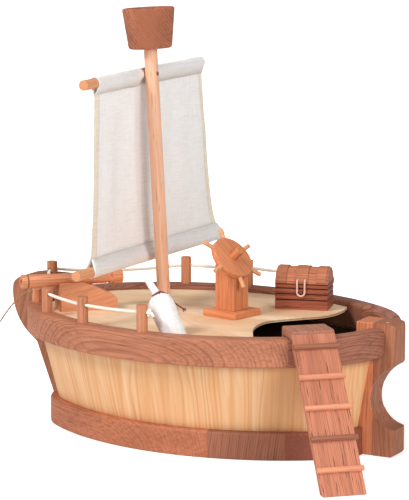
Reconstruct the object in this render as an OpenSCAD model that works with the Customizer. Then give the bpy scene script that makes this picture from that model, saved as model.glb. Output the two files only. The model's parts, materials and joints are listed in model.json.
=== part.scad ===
// Toy ark: an oval wooden ship with mast, sail, helm, chest, cannon, sack and boarding ladder.
// Millimetres. The bow points to -X, the port side to -Y, and Z is up from the floor.

/* [Hull] */
// Half length of the gunwale's outer oval
gun_a = 292; // [288:1:296]
// Half beam of the gunwale's outer oval
gun_b = 212; // [209:1:215]
// Width of the gunwale, seen from above
gun_w = 28; // [28:1:32]
// Height of the gunwale
gun_h = 41; // [38:1:46]
// Half length of the base ring's outer oval
ring_a = 265; // [262:1:268]
// Half beam of the base ring's outer oval
ring_b = 153; // [150:1:156]
// Width of the base ring, seen from above
ring_w = 40; // [36:1:46]
// Height of the base ring
ring_h = 40; // [36:1:44]
// Thickness of the side walls
wall_t = 6; // [4:0.5:7]
// Height of the side walls
wall_h = 106; // [100:1:112]
// Step from the base ring's outer edge in to the wall's foot
ledge = 12; // [8:1:15]
// Step from the gunwale's outer edge in to the wall's top
overhang = 21; // [18:1:21]
// Thickness of the stem and stern posts, across the ship
post_t = 42; // [36:1:48]
// Height of the stern post above the gunwale's top
stern_rise = 8; // [4:1:14]
// Height of the stem's head above the gunwale's top
stem_rise = 30; // [26:1:36]
// Thickness of the bottom board
floor_t = 8; // [6:1:12]
// Thickness of the deck board
deck_t = 4.5; // [4:0.5:6]
// Depth of the deck's top below the gunwale's top
deck_drop = 8; // [5:1:12]
// Side of the cleats that carry the deck
cleat_s = 12; // [10:1:16]

/* [Rails] */
// Diameter of the rail posts
rail_d = 16; // [13:1:18]
// Height of the rail posts above the gunwale
rail_h = 40; // [36:1:46]
// Depth of the rail posts' seats in the gunwale
rail_seat = 15; // [12:1:18]
// Height of the rope above the gunwale
rope_z = 28; // [24:1:30]
// Diameter of the rail rope
rope_d = 5; // [4:0.5:5.5]
// Diameter of the mooring peg at the bow
peg_d = 14; // [11:1:16]
// Height of the mooring peg above the gunwale
peg_h = 20; // [16:1:24]
// Diameter of the leather string
string_d = 2.4; // [1.8:0.2:3]

/* [Rig] */
// Diameter of the mast
mast_d = 20; // [18:0.5:22]
// Rake of the mast towards the bow, in degrees
mast_rake = 3.35; // [2:0.05:4.5]
// Roll of the upper yard about its peg, starboard end up, in degrees
yard_roll = 0.8; // [0:0.1:2]
// Height of the upper yard above the deck, along the mast
yard_z = 354.5; // [340:0.5:362]
// Height of the lower yard above the deck
boom_z = 77; // [74:1:84]
// Diameter of both yards
yard_d = 15; // [13:0.5:16]
// Diameter of the peg that holds the upper yard
yard_peg_d = 6.5; // [5:0.5:7.5]
// Thickness of the sailcloth
cloth_t = 1.2; // [1:0.1:1.6]
// Height of the crow's nest's foot above the deck, along the mast
nest_z = 392; // [385:1:400]
// Height of the crow's nest
nest_h = 60.5; // [52:0.5:66]
// Radius of the crow's nest at its rim
nest_r = 39; // [35:1:43]
// Radius of the crow's nest at its foot
nest_foot_r = 32.5; // [28:0.5:34]
// Thickness of the crow's nest's wall
nest_wall = 7; // [5:0.5:9]

/* [Helm] */
// Side of the helm's foot plate
helm_plate = 64; // [58:1:70]
// Thickness of the helm's foot plate
helm_plate_t = 9; // [7:0.5:11]
// Side of the helm's column
helm_col = 35; // [31:1:38]
// Height of the wheel's centre above the deck
wheel_z = 85; // [80:1:90]
// Tilt of the wheel's axle above level, in degrees
wheel_tilt = 41; // [38:1:44]
// Radius of the wheel's disc
wheel_r = 34.5; // [31:0.5:38]
// Thickness of the wheel's disc
wheel_t = 9; // [8:0.5:11]
// Radius of the wheel at the spokes' tips
spoke_r = 52.5; // [49:0.5:56]
// Diameter of the spokes
spoke_d = 6.5; // [5:0.5:7]
// Diameter of the axle
axle_d = 13; // [10:0.5:14]

/* [Chest] */
// Width of the chest
chest_w = 80; // [74:1:86]
// Depth of the chest, front to back
chest_d = 51; // [47:1:55]
// Height of the chest below its lid
chest_h = 39; // [35:1:43]
// Thickness of the chest's walls
chest_wall = 6; // [5:0.5:7]
// Height of the lid's bands above its skin
band_t = 1.5; // [1:0.25:2]
// Diameter of the hinge rod
hinge_d = 3; // [2.5:0.25:3.5]
// Diameter of the peg that the lid's loop goes over
latch_d = 4.5; // [3.5:0.5:5]
// Diameter of the loop's cord
loop_d = 3; // [2.2:0.2:3.4]

/* [Cannon] */
// Length of the barrel
barrel_l = 157; // [147:1:167]
// Radius of the barrel at its waist
barrel_r = 9.3; // [8.5:0.1:10]
// Height of the barrel's axis above the deck
barrel_z = 46.5; // [46:0.5:48]
// Length of the carriage
carriage_l = 88; // [82:1:94]
// Width of the carriage
carriage_w = 36; // [30:1:42]
// Height of the carriage
carriage_h = 42; // [40.5:0.5:43]
// Diameter of the hidden dowel between barrel and carriage
cannon_pin_d = 8; // [6:0.5:9]

/* [Boarding ladder] */
// Width of the ladder
plank_w = 63; // [58:1:68]
// Thickness of the ladder's plank
plank_t = 11; // [9:0.5:13]
// Reach of the ladder's foot out from the gunwale
plank_run = 150; // [145:1:155]
// Thickness of the hook board that lies on the gunwale
hook_t = 13; // [11:0.5:15]
// Diameter of the rungs
rung_d = 8; // [7:0.5:10]

/* [Sack] */
// Radius of the sack at its widest
sack_r = 17; // [15:0.5:17.5]
// Height of the sack up to its tie
sack_h = 64; // [58:1:70]

/* [Fits] */
// Gap around a glued or loose dowel
dowel_gap = 0.05; // [0.02:0.01:0.1]
// Gap between faces that move past each other
run_gap = 0.5; // [0.4:0.05:0.8]

/* [Hidden] */
$fn = 96;

// Overshoot of cutting shapes, and a length beyond every piece
cut = 1;
beyond = 400;

// Levels
wall_top = ring_h + wall_h;
gun_top = wall_top + gun_h;
deck_top = gun_top - deck_drop;
deck_low = deck_top - deck_t;

// Colours
cherry = [0.62, 0.36, 0.25];
pine = [0.90, 0.74, 0.52];
birch = [0.88, 0.76, 0.58];
beech = [0.80, 0.56, 0.40];
alder = [0.76, 0.46, 0.28];
linen = [0.93, 0.90, 0.86];
cord = [0.94, 0.90, 0.82];

// Four-arc oval of half length a and half beam b. Its arcs meet on 3-4-5 triangles, so both radii follow.
function oval_end(a, b) = (3 * b - a) / 2;
function oval_side(a, b) = 2 * a - b;
oval_turn = atan2(4, 3);
// Point of the oval on its starboard half at normal angle t, moved out by d
function oval_at(a, b, t, d) =
    let (r = oval_end(a, b), s = oval_side(a, b))
    t < oval_turn ? [a - r + (r + d) * cos(t), (r + d) * sin(t)] :
    t > 180 - oval_turn ? [r - a + (r + d) * cos(t), (r + d) * sin(t)] :
    [(s + d) * cos(t), b - s + (s + d) * sin(t)];
function gun_at(t, d) = oval_at(gun_a, gun_b, t, d);
function ring_at(t, d) = oval_at(ring_a, ring_b, t, d);
gun_r = oval_end(gun_a, gun_b);
ring_r = oval_end(ring_a, ring_b);

// One arc of a rail whose section is drawn with its outer face on the section's Y axis.
// An arc starts on the plane that it shares with its neighbour: at t0 going up, or at t1 going back.
module arc_up(cx, cy, rad, t0, t1) {
    if (t1 > t0 + 0.01)
        translate([cx, cy, 0]) rotate([0, 0, t0]) rotate_extrude(angle = t1 - t0)
            translate([rad, 0]) children();
}
module arc_back(cx, cy, rad, t0, t1) {
    if (t1 > t0 + 0.01)
        translate([cx, cy, 0]) rotate([0, 0, t1]) mirror([0, 1, 0]) rotate_extrude(angle = t1 - t0)
            translate([rad, 0]) children();
}
module oval_piece(a, b, t0, t1) {
    r = oval_end(a, b);
    s = oval_side(a, b);
    q = oval_turn;
    arc_back(a - r, 0, r, t0, min(t1, q)) children();
    if (t0 < q) arc_up(0, b - s, s, q, t1) children();
    if (t0 >= q) arc_back(0, b - s, s, t0, min(t1, 180 - q)) children();
    arc_up(r - a, 0, r, max(t0, 180 - q), t1) children();
}
// Section of width w between heights z0 and z1, corners rounded by top and foot radii in three steps
round_steps = 3;
quarter = 90;
function corner(x, y, r, t) =
    [for (i = [0 : round_steps]) let (w = t + quarter * i / round_steps) [x + r * cos(w), y + r * sin(w)]];
module rail_section(w, z0, z1, top, foot) {
    polygon(concat(corner(-top, z1 - top, top, 0), corner(top - w, z1 - top, top, quarter),
        corner(foot - w, z0 + foot, foot, 2 * quarter), corner(-foot, z0 + foot, foot, 3 * quarter)));
}
module port_side() {
    mirror([0, 1, 0]) children();
}
// The posts' inner faces stand in from the gunwale's ends by this much
post_set = 46;
post_inner = gun_a - post_set;
// The centre-plane slots that the stern post and the stem stand in
module stern_slot() {
    translate([post_inner, -post_t / 2, -cut]) cube([beyond, post_t, beyond]);
}
module stem_slot() {
    mirror([1, 0, 0]) stern_slot();
}

// Base ring
ring_joint_fore = 79.2;
ring_joint_aft = 62;
ring_round = 4;
// The ring's aft ends are cut square, this far short of the oval's end
ring_trim = 7;
// Notch in the ring's top edge at the bow for the stem's toe
toe_in = 9;
toe_z = ring_h - ring_round;
module ring_part(t0, t1) {
    difference() {
        oval_piece(ring_a, ring_b, t0, t1) rail_section(ring_w, 0, ring_h, ring_round, ring_round / 2);
        stern_slot();
        translate([ring_a - ring_trim, -ring_b, -cut]) cube([beyond, 2 * ring_b, beyond]);
        translate([-ring_a - cut, -post_t / 2, toe_z]) cube([toe_in + cut, post_t, beyond]);
    }
}
module ring_port_fore() { color(cherry) port_side() ring_part(ring_joint_fore, 180); }
module ring_port_mid() { color(cherry) port_side() ring_part(ring_joint_aft, ring_joint_fore); }
module ring_port_aft() { color(cherry) port_side() ring_part(0, ring_joint_aft); }
module ring_star_fore() { color(cherry) ring_part(ring_joint_fore, 180); }
module ring_star_mid() { color(cherry) ring_part(ring_joint_aft, ring_joint_fore); }
module ring_star_aft() { color(cherry) ring_part(0, ring_joint_aft); }

// Bottom board, let in flush inside the base ring
board_steps = 60;
module bottom_board() {
    half = [for (i = [0 : board_steps]) ring_at(180 * i / board_steps, -ring_w)];
    other = [for (i = [board_steps - 1 : -1 : 1]) [half[i][0], -half[i][1]]];
    color(birch) linear_extrude(height = floor_t) polygon(concat(half, other));
}

// Side walls, flared from the base ring up to the gunwale
wall_steps = 56;
function wall_line(foot, d, r_end) =
    let (t0 = asin(post_t / 2 / (r_end + d)))
    [for (i = [0 : wall_steps]) let (t = t0 + (180 - 2 * t0) * i / wall_steps)
        foot ? concat(ring_at(t, d), ring_h) : concat(gun_at(t, d), wall_top)];
module wall_shell() {
    fo = wall_line(true, -ledge, ring_r);
    to = wall_line(false, -overhang, gun_r);
    ti = wall_line(false, -overhang - wall_t, gun_r);
    fi = wall_line(true, -ledge - wall_t, ring_r);
    n = wall_steps + 1;
    pts = concat(fo, to, ti, fi);
    sides = [for (k = [0 : 3], i = [0 : wall_steps - 1])
        let (a = k * n + i, b = ((k + 1) % 4) * n + i) [a, a + 1, b + 1, b]];
    tri = [for (f = sides, h = [0, 1]) h == 0 ? [f[0], f[2], f[1]] : [f[0], f[3], f[2]]];
    ends = [[0, n, 2 * n, 3 * n], [3 * n + wall_steps, 2 * n + wall_steps, n + wall_steps, wall_steps]];
    caps = concat([for (e = ends) [e[2], e[1], e[0]]], [for (e = ends) [e[3], e[2], e[0]]]);
    polyhedron(points = pts, faces = concat(tri, caps));
}
module wall_port() { color(pine) port_side() wall_shell(); }
module wall_star() { color(pine) wall_shell(); }

// Gunwale, with seats for the rail posts and the mooring peg
gun_joint = 57;
gun_round = 6;
post_angles_port = [124.6, 108.9, 91.0];
post_angles_star = [112.3, 96.3, 80.5];
peg_angle = 152.7;
module seat(t, d) {
    translate(concat(gun_at(t, -gun_w / 2), gun_top - rail_seat))
        cylinder(d = d + 2 * dowel_gap, h = rail_seat + cut);
}
module gun_part(t0, t1) {
    difference() {
        oval_piece(gun_a, gun_b, t0, t1) rail_section(gun_w, wall_top, gun_top, gun_round, gun_round / 2);
        stern_slot();
        stem_slot();
    }
}
module gun_port_fore() {
    color(cherry) port_side() difference() {
        gun_part(gun_joint, 180);
        for (t = post_angles_port) seat(t, rail_d);
        seat(peg_angle, peg_d);
    }
}
module gun_port_aft() { color(cherry) port_side() gun_part(0, gun_joint); }
module gun_star_fore() {
    color(cherry) difference() {
        gun_part(gun_joint, 180);
        for (t = post_angles_star) seat(t, rail_d);
    }
}
module gun_star_aft() { color(cherry) gun_part(0, gun_joint); }

// Board in the centre plane from an X-Z outline
module centre_board(t) {
    translate([0, t / 2, 0]) rotate([90, 0, 0]) linear_extrude(height = t) children();
}
// Stem: a strip up from the base ring, and a round head that stands above the gunwale
head_r = 84;
head_x = -post_inner - 6;
head_z = gun_top + 1;
head_low = 234;
head_high = 171;
head_steps = 20;
stem_top = gun_top + stem_rise;
stem_waist = wall_top - 33;
strip_foot = -ring_a + 1.5;
// The stem's foot reaches this far in over the ring from its outer edge
stem_foot = 19;
strip_waist = -gun_a - 1;
// The head's front corner, from its round front up to the flat top: back from the front, down from the top
brow = [[4, 12], [10, 7], [19, 3], [35, 0]];
module stem() {
    arc = [for (i = [0 : head_steps]) let (t = head_low + (head_high - head_low) * i / head_steps)
        [head_x + head_r * cos(t), head_z + head_r * sin(t)]];
    toe = [[toe_in - ring_a, ring_h], [toe_in - ring_a, toe_z], [strip_foot, toe_z]];
    foot = [[-post_inner, wall_top], [stem_foot - ring_a, ring_h]];
    strip = concat(foot, toe, [[strip_waist, stem_waist]]);
    top = [for (c = brow) [head_x - head_r + c[0], stem_top - c[1]]];
    color(cherry) difference() {
        centre_board(post_t) polygon(concat(strip, arc, top, [[-post_inner, stem_top]]));
        bow_seat();
    }
}
bow_post_x = -post_inner - 31;
bow_post_rise = 19;
module bow_seat() {
    translate([bow_post_x, 0, stem_top - rail_seat])
        cylinder(d = rail_d + 2 * dowel_gap, h = rail_seat + cut);
}

// Stern: an inner post and two outer blocks, hollowed together on the aft side
stern_post_w = 28;
stern_block_w = 33.5;
stern_joint = post_inner + stern_post_w;
stern_aft = stern_joint + stern_block_w;
stern_top = gun_top + stern_rise;
throat_x = stern_joint - 4;
throat_z = ring_h + 42;
throat_up = 55;
throat_low = 42;
stern_cut = 5;
stern_round = 7;
module throat() {
    intersection() {
        translate([throat_x + throat_up, throat_z]) circle(r = throat_up);
        translate([throat_x - cut, throat_z]) square(beyond);
    }
    intersection() {
        translate([throat_x + throat_low, throat_z]) circle(r = throat_low);
        translate([throat_x - cut, throat_z - beyond]) square([beyond, beyond + 0.01]);
    }
}
// Round lip where the hollow meets the aft face of the upper block
lip_r = 14;
lip_x = stern_aft - lip_r;
lip_dx = lip_x - throat_x - throat_up;
lip_z = throat_z + sqrt(pow(throat_up + lip_r, 2) - pow(lip_dx, 2));
lip_reach = throat_up / (throat_up + lip_r);
module lip_corner() {
    touch = [throat_x + throat_up + lip_dx * lip_reach, throat_z + (lip_z - throat_z) * lip_reach];
    difference() {
        polygon([touch, [stern_aft + cut, touch[1]], [stern_aft + cut, lip_z], [lip_x, lip_z]]);
        translate([lip_x, lip_z]) circle(r = lip_r);
    }
}
module stern_post() {
    color(alder) centre_board(post_t) difference() {
        translate([post_inner, 0]) square([stern_post_w, stern_top]);
        throat();
    }
}
// Plan of the blocks, with round aft corners
module stern_plan() {
    half = post_t / 2 - stern_round;
    translate([stern_joint, -post_t / 2]) square([stern_block_w - stern_round, post_t]);
    translate([stern_joint, -half]) square([stern_block_w, 2 * half]);
    for (y = [-half, half]) translate([stern_aft - stern_round, y]) circle(r = stern_round);
}
module stern_block() {
    foot = [[stern_joint, 0], [stern_aft - stern_cut, 0], [stern_aft, stern_cut]];
    top = [[stern_aft, stern_top - 2 * stern_cut], [stern_aft - stern_cut / 2, stern_top - stern_cut / 2],
        [stern_aft - 2 * stern_cut, stern_top], [stern_joint, stern_top]];
    intersection() {
        centre_board(post_t) difference() {
            polygon(concat(foot, top));
            throat();
            lip_corner();
        }
        linear_extrude(height = stern_top) stern_plan();
    }
}
module stern_block_top() {
    color(cherry) difference() {
        stern_block();
        translate([stern_joint - cut, -post_t, throat_z - beyond]) cube([beyond, 2 * post_t, beyond]);
        plug_hole();
    }
}
module stern_block_low() {
    color(cherry) difference() {
        stern_block();
        translate([stern_joint - cut, -post_t, throat_z]) cube([beyond, 2 * post_t, beyond]);
    }
}
plug_d = 6;
plug_len = 20;
plug_x = stern_joint + 17;
module plug_at(d, h) {
    translate([plug_x, -post_t / 4, stern_top - plug_len]) cylinder(d = d, h = h);
}
module plug_hole() { plug_at(plug_d + 2 * dowel_gap, plug_len + cut); }
module stern_plug() { color(birch) plug_at(plug_d, plug_len); }

// Deck with its open stern: the aft edge runs from port to starboard through these points
deck_edge = [[158, -190], [144, -146], [129, -116], [112, -84], [101, -57], [96.5, -36], [95, -18],
    [98, -1.5], [107, 13], [122, 32], [138, 51.5], [150, 66], [156.5, 80], [159.5, 96], [160, 114],
    [158, 130], [155, 140], [152, 190]];
edge_steps = 5;
function spline(p, i, u) =
    let (n = len(p) - 1, a = p[max(i - 1, 0)], b = p[i], c = p[min(i + 1, n)], d = p[min(i + 2, n)])
    0.5 * (2 * b + (c - a) * u + (2 * a - 5 * b + 4 * c - d) * u * u + (3 * b - a - 3 * c + d) * u * u * u);
function spline_run(p, k) =
    concat([for (i = [0 : len(p) - 2], j = [0 : k - 1]) spline(p, i, j / k)], [p[len(p) - 1]]);
deck_gap = 1;
deck_steps = 70;
mast_x = -79.5;
module deck() {
    half = [for (i = [0 : deck_steps]) gun_at(180 * i / deck_steps, -gun_w - deck_gap)];
    other = [for (i = [deck_steps - 1 : -1 : 1]) [half[i][0], -half[i][1]]];
    color(birch) difference() {
        translate([0, 0, deck_low]) linear_extrude(height = deck_t) difference() {
            polygon(concat(half, other));
            polygon(concat(spline_run(deck_edge, edge_steps), [[gun_a, gun_b], [gun_a, -gun_b]]));
            translate([-gun_a, -post_t / 2 - deck_gap]) square([post_set + deck_gap, post_t + 2 * deck_gap]);
        }
        in_mast() translate([0, 0, -mast_foot]) cylinder(d = mast_d + 2 * dowel_gap, h = 2 * mast_foot);
    }
}
cleat_from = 70;
cleat_to = 122;
module cleat_shape() {
    s = oval_side(gun_a, gun_b);
    arc_up(0, gun_b - s, s - gun_w, cleat_from, cleat_to)
        translate([-cleat_s, deck_low - cleat_s]) square([cleat_s, cleat_s]);
}
module cleat_port() { color(birch) port_side() cleat_shape(); }
module cleat_star() { color(birch) cleat_shape(); }

// Mast, its step under the deck and the crow's nest
module in_mast() {
    translate([mast_x, 0, deck_top]) rotate([0, -mast_rake, 0]) children();
}
step_w = 60;
step_h = 46;
mast_foot = 38;
module mast_step() {
    color(birch) difference() {
        translate([mast_x - step_w / 2, -step_w / 2, deck_low - step_h]) cube([step_w, step_w, step_h]);
        in_mast() translate([0, 0, -mast_foot - deck_t])
            cylinder(d = mast_d + 2 * dowel_gap, h = 2 * mast_foot + deck_t);
    }
}
nest_floor = 14;
module mast() {
    color(beech) in_mast() difference() {
        translate([0, 0, -mast_foot - deck_t])
            cylinder(d = mast_d, h = mast_foot + deck_t + nest_z + nest_floor);
        peg_bore();
    }
}
nest_round = 3.5;
nest_lip = 2;
module crows_nest() {
    foot = [[0, 0], [nest_foot_r - nest_round, 0], [nest_foot_r - 0.3 * nest_round, 0.3 * nest_round],
        [nest_foot_r, nest_round]];
    rim = [[nest_r, nest_h - nest_lip], [nest_r - nest_lip, nest_h], [nest_r - nest_wall + nest_lip, nest_h],
        [nest_r - nest_wall, nest_h - nest_lip]];
    color(cherry) in_mast() translate([0, 0, nest_z]) difference() {
        rotate_extrude() polygon(concat(foot, rim, [[nest_foot_r - nest_wall, nest_floor], [0, nest_floor]]));
        translate([0, 0, -cut]) cylinder(d = mast_d + 2 * dowel_gap, h = nest_floor + 2 * cut);
    }
}
// Upper yard, pegged to the mast's fore side and rolled a little about its peg
yard_off = (mast_d + yard_d) / 2 + dowel_gap;
yard_port = 169;
yard_star = 178;
peg_out = 0.6;
module peg_bore() {
    translate([-mast_d * 2, 0, yard_z]) rotate([0, 90, 0])
        cylinder(d = yard_peg_d + 2 * dowel_gap, h = mast_d * 4);
}
module yard_upper() {
    color(beech) in_mast() difference() {
        translate([-yard_off, 0, yard_z]) rotate([yard_roll - 90, 0, 0]) translate([0, 0, -yard_port])
            cylinder(d = yard_d, h = yard_port + yard_star);
        peg_bore();
    }
}
module yard_peg() {
    color(alder) in_mast() translate([-yard_off - yard_d / 2, 0, yard_z]) rotate([0, 90, 0])
        cylinder(d = yard_peg_d, h = yard_off + yard_d / 2 + mast_d / 2 + peg_out);
}
// The yard's axis in the ship's frame; the sail hangs plumb below it
yard_x = mast_x - yard_off * cos(mast_rake) - yard_z * sin(mast_rake);
yard_up = deck_top + yard_z * cos(mast_rake) - yard_off * sin(mast_rake);
boom_up = deck_top + boom_z;
boom_port = 194;
boom_star = 224;
module yard_lower() {
    color(beech) translate([yard_x, -boom_port, boom_up]) rotate([-90, 0, 0])
        cylinder(d = yard_d, h = boom_port + boom_star);
}
// Sail: one cloth that hangs plumb under the upper yard, folded round each yard in a sleeve that comes
// back to its aft face at a seam
sleeve_in = yard_d / 2 + 0.3;
wrap_r = sleeve_in + cloth_t / 2;
sail_port_top = -138;
sail_port_low = -154;
sail_star_top = 183.5;
sail_star_run = 48;
sail_star_kick = 18.5;
kick_power = 12;
sail_cols = 18;
sail_rows = 8;
seam_top = 0.06;
seam_low = 0.93;
seam_out = cloth_t + 0.4;
belly = 6;
fold = 3;
fold_turns = 900;
fold_drift = 70;
sail_gap = 13;
notch_low = 21;
wrap_turns = 8;
wrap_step = 30;
wrap_top = -30;
wrap_low = 150;
function sail_y(u, v) =
    let (a = sail_port_top + (sail_port_low - sail_port_top) * v)
    let (b = sail_star_top + sail_star_run * v + sail_star_kick * pow(v, kick_power))
    a + (b - a) * u;
// The yard's axis at a place across the ship
function yard_at(y) =
    [yard_x - y * tan(yard_roll) * sin(mast_rake), yard_up + y * tan(yard_roll) * cos(mast_rake)];
function sail_wave(u, v) =
    sin(180 * v) * (fold * sin(fold_turns * u + fold_drift * v) - belly * sin(180 * u));
function wrap_at(c, y, t, r) = [c[0] + r * cos(t), y, c[1] + r * sin(t)];
// A point of the hanging cloth, moved aft
function hang_at(u, v, aft) =
    let (top = yard_at(sail_y(u, 0)), c = top + ([yard_x, boom_up] - top) * v)
    [c[0] + sail_wave(u, v) + aft, sail_y(u, v), c[1]];
sail_v = concat([seam_top], [for (j = [1 : sail_rows - 1]) j / sail_rows], [seam_low]);
// Two sides of the cloth: s is -0.5 on the inner side of the sleeves and 0.5 on the outer
function sail_line(u, s) =
    let (r = wrap_r + s * cloth_t, y0 = sail_y(u, 0), y1 = sail_y(u, 1))
    concat([hang_at(u, seam_top, seam_out + s * cloth_t)],
        [for (i = [0 : wrap_turns]) wrap_at(yard_at(y0), y0, wrap_top + wrap_step * i, r)],
        [for (v = sail_v) hang_at(u, v, -s * cloth_t)],
        [for (i = [0 : wrap_turns]) wrap_at([yard_x, boom_up], y1, wrap_low + wrap_step * i, r)],
        [hang_at(u, seam_low, seam_out + s * cloth_t)]);
module sail_cloth() {
    n = len(sail_line(0, 0));
    m = n * (sail_cols + 1);
    pts = [for (s = [-0.5, 0.5], i = [0 : sail_cols]) each sail_line(i / sail_cols, s)];
    cells = [for (i = [0 : sail_cols - 1], j = [0 : n - 2]) i * n + j];
    inner = [for (c = cells, h = [0, 1]) h == 0 ? [c, c + n, c + 1] : [c + 1, c + n, c + n + 1]];
    outer = [for (f = inner) [m + f[0], m + f[2], m + f[1]]];
    rim = concat([for (j = [0 : n - 2]) [j, j + 1]],
        [for (i = [0 : sail_cols - 1]) [i * n + n - 1, (i + 1) * n + n - 1]],
        [for (j = [n - 1 : -1 : 1]) [sail_cols * n + j, sail_cols * n + j - 1]],
        [for (i = [sail_cols : -1 : 1]) [i * n, (i - 1) * n]]);
    edge = [for (e = rim, h = [0, 1]) h == 0 ? [e[0], e[1], m + e[1]] : [e[0], m + e[1], m + e[0]]];
    polyhedron(points = pts, faces = concat(inner, outer, edge), convexity = 6);
}
module sail() {
    color(linen) difference() {
        sail_cloth();
        translate([yard_x + cloth_t, -sail_gap, yard_up - notch_low])
            cube([2 * mast_d, 2 * sail_gap, notch_low + yard_d]);
        translate([yard_x - mast_d, -sail_gap, yard_up - yard_d / 2])
            cube([2 * mast_d, 2 * sail_gap, 2 * yard_d]);
    }
}

// Helm: loose on the deck, wheel on a slanted axle
helm_at = [29.5, 9];
helm_turn = -12.6;
module in_helm() {
    translate(concat(helm_at, deck_top)) rotate([0, 0, helm_turn]) children();
}
plate_cut = 3.5;
module helm_plate_board() {
    h = helm_plate / 2;
    c = h - plate_cut;
    color(alder) in_helm() linear_extrude(height = helm_plate_t)
        polygon([[-h, -c], [-c, -h], [c, -h], [h, -c], [h, c], [c, h], [-c, h], [-h, c]]);
}
module in_wheel() {
    in_helm() translate([0, 0, wheel_z]) rotate([0, 90 - wheel_tilt, 0]) children();
}
axle_in = 30;
axle_out = 22;
module helm_column() {
    color(alder) difference() {
        in_helm() translate([-helm_col / 2, -helm_col / 2, helm_plate_t])
            cube([helm_col, helm_col, wheel_z + helm_col]);
        in_wheel() translate([-beyond / 2, -beyond / 2, -wheel_t / 2 - run_gap]) cube(beyond);
        in_wheel() translate([0, 0, -axle_in - run_gap])
            cylinder(d = axle_d + 2 * dowel_gap, h = axle_in + cut);
    }
}
module helm_axle() {
    color(alder) in_wheel() translate([0, 0, -axle_in]) cylinder(d = axle_d, h = axle_in + axle_out);
}
spoke_phase = 106.6;
spoke_in = 14;
spoke_count = 6;
spoke_end = 0.1;
rim_cut = 0.7;
module spoke_set(d, grow) {
    for (k = [0 : spoke_count - 1]) rotate([0, 0, spoke_phase + 360 * k / spoke_count])
        translate([wheel_r - spoke_in - grow, 0, 0]) rotate([0, 90, 0])
            cylinder(d = d, h = spoke_r - wheel_r + spoke_in + grow);
}
module helm_wheel() {
    color(alder) in_wheel() difference() {
        translate([0, 0, -wheel_t / 2]) rotate_extrude() polygon([[0, 0], [wheel_r - rim_cut, 0],
            [wheel_r, rim_cut], [wheel_r, wheel_t - rim_cut], [wheel_r - rim_cut, wheel_t], [0, wheel_t]]);
        translate([0, 0, -wheel_t]) cylinder(d = axle_d + 2 * dowel_gap, h = 2 * wheel_t);
        spoke_set(spoke_d + 2 * dowel_gap, spoke_end);
    }
}
module helm_spokes() { color(beech) in_wheel() spoke_set(spoke_d, 0); }

// Chest with a barrel lid on a hinge rod at the back
chest_at = [97.5, 115.5];
chest_turn = 14.9;
module in_chest() {
    translate(concat(chest_at, deck_top)) rotate([0, 0, chest_turn]) children();
}
// The lid's arc is a little less than half a barrel
lid_gap = 0.3;
lid_sink = 2.7;
lid_r = sqrt(pow(chest_d / 2, 2) + pow(lid_sink, 2));
lid_foot = chest_h + lid_gap;
groove = 1.6;
groove_levels = [0.39, 0.61, 0.83];
hinge_y = chest_d / 2 + hinge_d;
knuckle = chest_w / 3;
knuckle_d = 2 * hinge_d;
lid_bite = chest_wall * 2 / 3;
knuckle_gap = 0.4;
knuckle_len = knuckle - knuckle_gap;
knuckle_ends = [-chest_w / 2, knuckle / 2 + knuckle_gap];
latch_z = 0.7 * chest_h;
latch_in = chest_wall - 1.5;
// A V groove along each of the four sides
module groove_ring(z) {
    for (a = [0, 90, 180, 270]) let (half = (a % 180 == 0 ? chest_d : chest_w) / 2)
        rotate([0, 0, a]) translate([-chest_w, -half, z]) rotate([45, 0, 0])
            translate([0, -groove / 2, -groove / 2]) cube([2 * chest_w, groove, groove]);
}
module hinge_bar(x, d, h) {
    translate([x, hinge_y, chest_h]) rotate([0, 90, 0]) cylinder(d = d, h = h);
}
module knuckle_bar(x, h) {
    difference() {
        hinge_bar(x, knuckle_d, h);
        hinge_bar(x - cut, hinge_d + 2 * dowel_gap, h + 2 * cut);
    }
}
// A block between a knuckle and its wall, hollowed for the rod
module knuckle_block(x, h, y, z, depth, rise) {
    difference() {
        translate([x, y, z]) cube([h, depth, rise]);
        hinge_bar(x - cut, hinge_d * 1.5, h + 2 * cut);
    }
}
module chest_box() {
    w = chest_wall;
    difference() {
        translate([-chest_w / 2, -chest_d / 2, 0]) cube([chest_w, chest_d, chest_h]);
        translate([w - chest_w / 2, w - chest_d / 2, w]) cube([chest_w - 2 * w, chest_d - 2 * w, chest_h]);
        for (g = groove_levels) groove_ring(chest_h * g);
    }
}
module chest_body() {
    color(cherry) in_chest() difference() {
        union() {
            chest_box();
            for (x = knuckle_ends) knuckle_bar(x, knuckle_len);
            for (x = knuckle_ends) knuckle_block(x, knuckle_len, chest_d / 2 - cut,
                chest_h - knuckle_d, hinge_d + cut, knuckle_d);
        }
        translate([0, -chest_d / 2 - cut, latch_z]) rotate([-90, 0, 0])
            cylinder(d = latch_d + 2 * dowel_gap, h = latch_in + cut + dowel_gap);
    }
}
module half_barrel(r, x0, x1) {
    intersection() {
        translate([x0, 0, lid_foot - lid_sink]) rotate([0, 90, 0]) cylinder(r = r, h = x1 - x0);
        translate([x0 - cut, -chest_d, lid_foot]) cube([x1 - x0 + 2 * cut, 2 * chest_d, chest_d]);
    }
}
module chest_lid() {
    inside = chest_w / 2 - chest_wall;
    color(cherry) in_chest() {
        difference() {
            half_barrel(lid_r, -chest_w / 2, chest_w / 2);
            half_barrel(lid_r - chest_wall, -inside, inside);
            loop_holes();
            hinge_bar(-chest_w, knuckle_d + 2 * run_gap, 2 * chest_w);
        }
        knuckle_bar(-knuckle / 2, knuckle);
        knuckle_block(-knuckle / 2, knuckle, chest_d / 2 - lid_bite, lid_foot, lid_bite + hinge_d, hinge_d);
    }
}
band_spans = [[-0.47, -0.29], [-0.12, 0.12], [0.29, 0.47]];
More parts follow.
